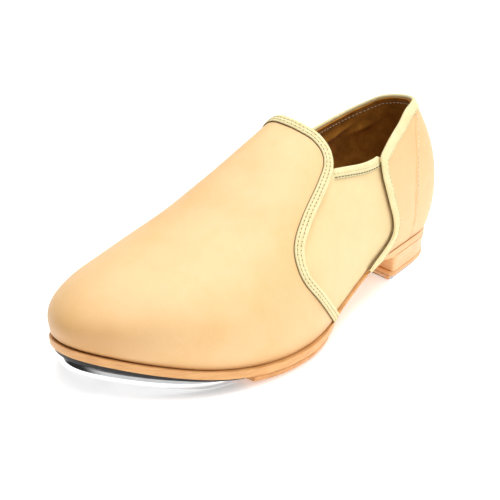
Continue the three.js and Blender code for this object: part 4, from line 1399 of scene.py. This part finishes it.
def make_sole_pad():
    """A rubber pad with a sloping edge and fine ribs across its underside."""
    stations_x = np.arange(PAD_SPAN[0], PAD_SPAN[1] + 0.01, 0.25)
    edges = {side: outline_at(side, along_at(side, stations_x)) for side in (1, -1)}
    rib = 0.32 * np.abs(np.mod(stations_x / 1.6, 1.0) * 2 - 1)
    near_end = np.minimum(stations_x - PAD_SPAN[0], PAD_SPAN[1] - stations_x)
    ends = 0.6 * np.maximum(0, 1 - near_end / 1.0) ** 2
    top = under_sole(stations_x)
    bottom = top - PAD_THICKNESS + rib * smooth(0, 1.5, near_end) + ends
    rings = []
    for k, x in enumerate(stations_x):
        section = []
        for side in (1, -1):
            foot, normal = edges[side][0][k], edges[side][1][k]
            points = []
            for inset, drop in PAD_EDGE:
                z = bottom[k] if drop is None else max(top[k] + drop, bottom[k] + 0.02)
                place = foot - normal * (inset + sole_inset(x))
                points.append((x, place[1], z))
            section.append(points)
        between = [(x, y, bottom[k]) for y in np.linspace(section[0][-1][1], section[1][-1][1], 14)[1:-1]]
        rings.append(section[0] + between + section[1][::-1])
    rings = np.array(rings)
    points, faces = tube_of(rings)
    edge = np.zeros(rings.shape[:2])
    edge[:, 6:-6] = (rib[:, None] < 0.05) * 0.4
    make_piece("sole_pad_rubber", points, faces, finishes["pad"], ["sole_pad"],
               edge=edge.ravel(), sharp=28)


def make_sock_liner():
    """A thin foam-backed liner: crowned, with its edge pressed down."""
    base = lambda x: insole_top(x) + GAP
    crown = ((5.0, 0.0), (3.6, 0.02), (2.4, 0.1), (1.4, 0.28), (0.6, 0.6), (0.15, 0.95))
    profile = [(inset, lambda x, drop=drop: insole_top(x) + 1.7 - drop) for inset, drop in crown]
    profile += [(0.1, lambda x: base(x) + 0.15), (0.3, base)]
    loop = outline_loop(lambda x: 4.6 + 0 * x, spacing=2.0)
    points, faces, _ = slab(loop, profile, spacing=6)
    piece = make_piece("sock_liner_cushion", points, faces, finishes["sock"], ["sock_liner"],
                       edge=np.zeros(len(points)))


# ---------- CAD nodes that stay ----------
def dress(node, material):
    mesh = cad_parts[node].data
    mesh.materials.clear()
    mesh.materials.append(finishes[material])


def dress_kept_nodes():
    for number in (1, 2, 3):
        dress(f"toe_tap_screw_{number}", "screw")
        dress(f"heel_tap_screw_{number}", "screw")
    for node, material in (("heel_screw", "screw"), ("insole_board", "board"), ("toe_puff", "board"),
                           ("heel_counter", "board"), ("bottom_filler", "cork"), ("shank", "shank")):
        dress(node, material)


# ---------- Stage, in metres, watts and degrees ----------
FLOOR_SIZE = 4.0
FLOOR_DROP = 0.0002
FLOOR_GLOW = 0.36
DIM_TOWARDS = (0.8, -0.56, 0.2)
DIM_FADE = (0.4, 0.88)
TENT_STRENGTH = (0.66, 0.03)
OVERHEAD_POWER = 14.5
SIDE_POWER = 2.5
CAMERA_TARGET = (0.0262, 0.0061, 0.0414)
CAMERA_ANGLES = (128.333, 22.067)
CAMERA_DISTANCE = 0.56
CAMERA_LENS = 85.6


def make_floor():
    mesh = bpy.data.meshes.new("studio_floor")
    work = bmesh.new()
    bmesh.ops.create_grid(work, x_segments=8, y_segments=8, size=FLOOR_SIZE)
    work.to_mesh(mesh)
    work.free()
    finish = Finish("studio_floor", 0.85, specular=0.2)
    cloudy = finish.noise(400, detail=2)
    finish.colour(finish.ramp(cloudy, [(0.3, (0.93, 0.93, 0.93)), (0.7, (0.96, 0.96, 0.96))]))
    finish.set("Emission Color", (1, 1, 1, 1))
    finish.set("Emission Strength", FLOOR_GLOW)
    mesh.materials.append(finish.material)
    floor = bpy.data.objects.new("studio_floor", mesh)
    floor.location.z = -FLOOR_DROP
    bpy.context.scene.collection.objects.link(floor)


def area_light(name, place, target, size, power):
    data = bpy.data.lights.new(name, "AREA")
    data.shape = "RECTANGLE"
    data.size, data.size_y = size
    data.energy = power
    lamp = bpy.data.objects.new(name, data)
    lamp.location = place
    lamp.rotation_euler = (Vector(target) - Vector(place)).to_track_quat("-Z", "Y").to_euler()
    bpy.context.scene.collection.objects.link(lamp)


def make_lights():
    """A bright tent, dim in front of the toe, with a large lamp overhead and one on the outer side."""
    world = bpy.data.worlds.new("studio")
    world.use_nodes = True
    tree = world.node_tree
    direction = tree.nodes.new("ShaderNodeTexCoord").outputs["Generated"]
    facing = tree.nodes.new("ShaderNodeVectorMath")
    facing.operation = "DOT_PRODUCT"
    facing.inputs[1].default_value = DIM_TOWARDS
    tree.links.new(direction, facing.inputs[0])
    strength = tree.nodes.new("ShaderNodeMapRange")
    strength.interpolation_type = "SMOOTHSTEP"
    for socket, value in zip(("From Min", "From Max", "To Min", "To Max"), DIM_FADE + TENT_STRENGTH):
        strength.inputs[socket].default_value = value
    tree.links.new(facing.outputs["Value"], strength.inputs["Value"])
    background = tree.nodes["Background"]
    background.inputs["Color"].default_value = (1, 1, 1, 1)
    tree.links.new(strength.outputs["Result"], background.inputs["Strength"])
    bpy.context.scene.world = world
    area_light("overhead", (-0.1, -0.05, 1.2), (0, 0, 0), (1.2, 1.2), OVERHEAD_POWER)
    area_light("outer_side", (-0.15, 0.95, 0.95), (-0.05, 0, 0.06), (0.5, 0.5), SIDE_POWER)


def make_camera():
    """Seen from the front and the outer side, a little above the shoe."""
    azimuth, elevation = np.radians(CAMERA_ANGLES)
    level_part = math.cos(elevation)
    back = Vector((math.sin(azimuth) * level_part, -math.cos(azimuth) * level_part, math.sin(elevation)))
    data = bpy.data.cameras.new("camera")
    data.lens = CAMERA_LENS
    data.sensor_width = 36
    camera = bpy.data.objects.new("camera", data)
    camera.location = Vector(CAMERA_TARGET) + back * CAMERA_DISTANCE
    camera.rotation_euler = (-back).to_track_quat("-Z", "Y").to_euler()
    bpy.context.scene.collection.objects.link(camera)
    bpy.context.scene.camera = camera


bpy.context.scene.view_settings.view_transform = "Standard"
make_camera()
make_lights()
make_floor()
make_vamp()
make_vamp_lining()
for side, word in SIDES:
    make_gore(side, f"gore_fabric_{word}", f"gore_{word}")
    make_quarter(side, f"quarter_leather_{word}", f"quarter_{word}")
make_backstay()
make_quarter_lining()
make_tapes()
stitch_vamp()
for side, word in SIDES:
    stitch_side(side, word)
stitch_rim()
make_outsole()
make_sole_pad()
make_toe_shim()
make_toe_tap()
make_heel()
make_sock_liner()
dress_kept_nodes()
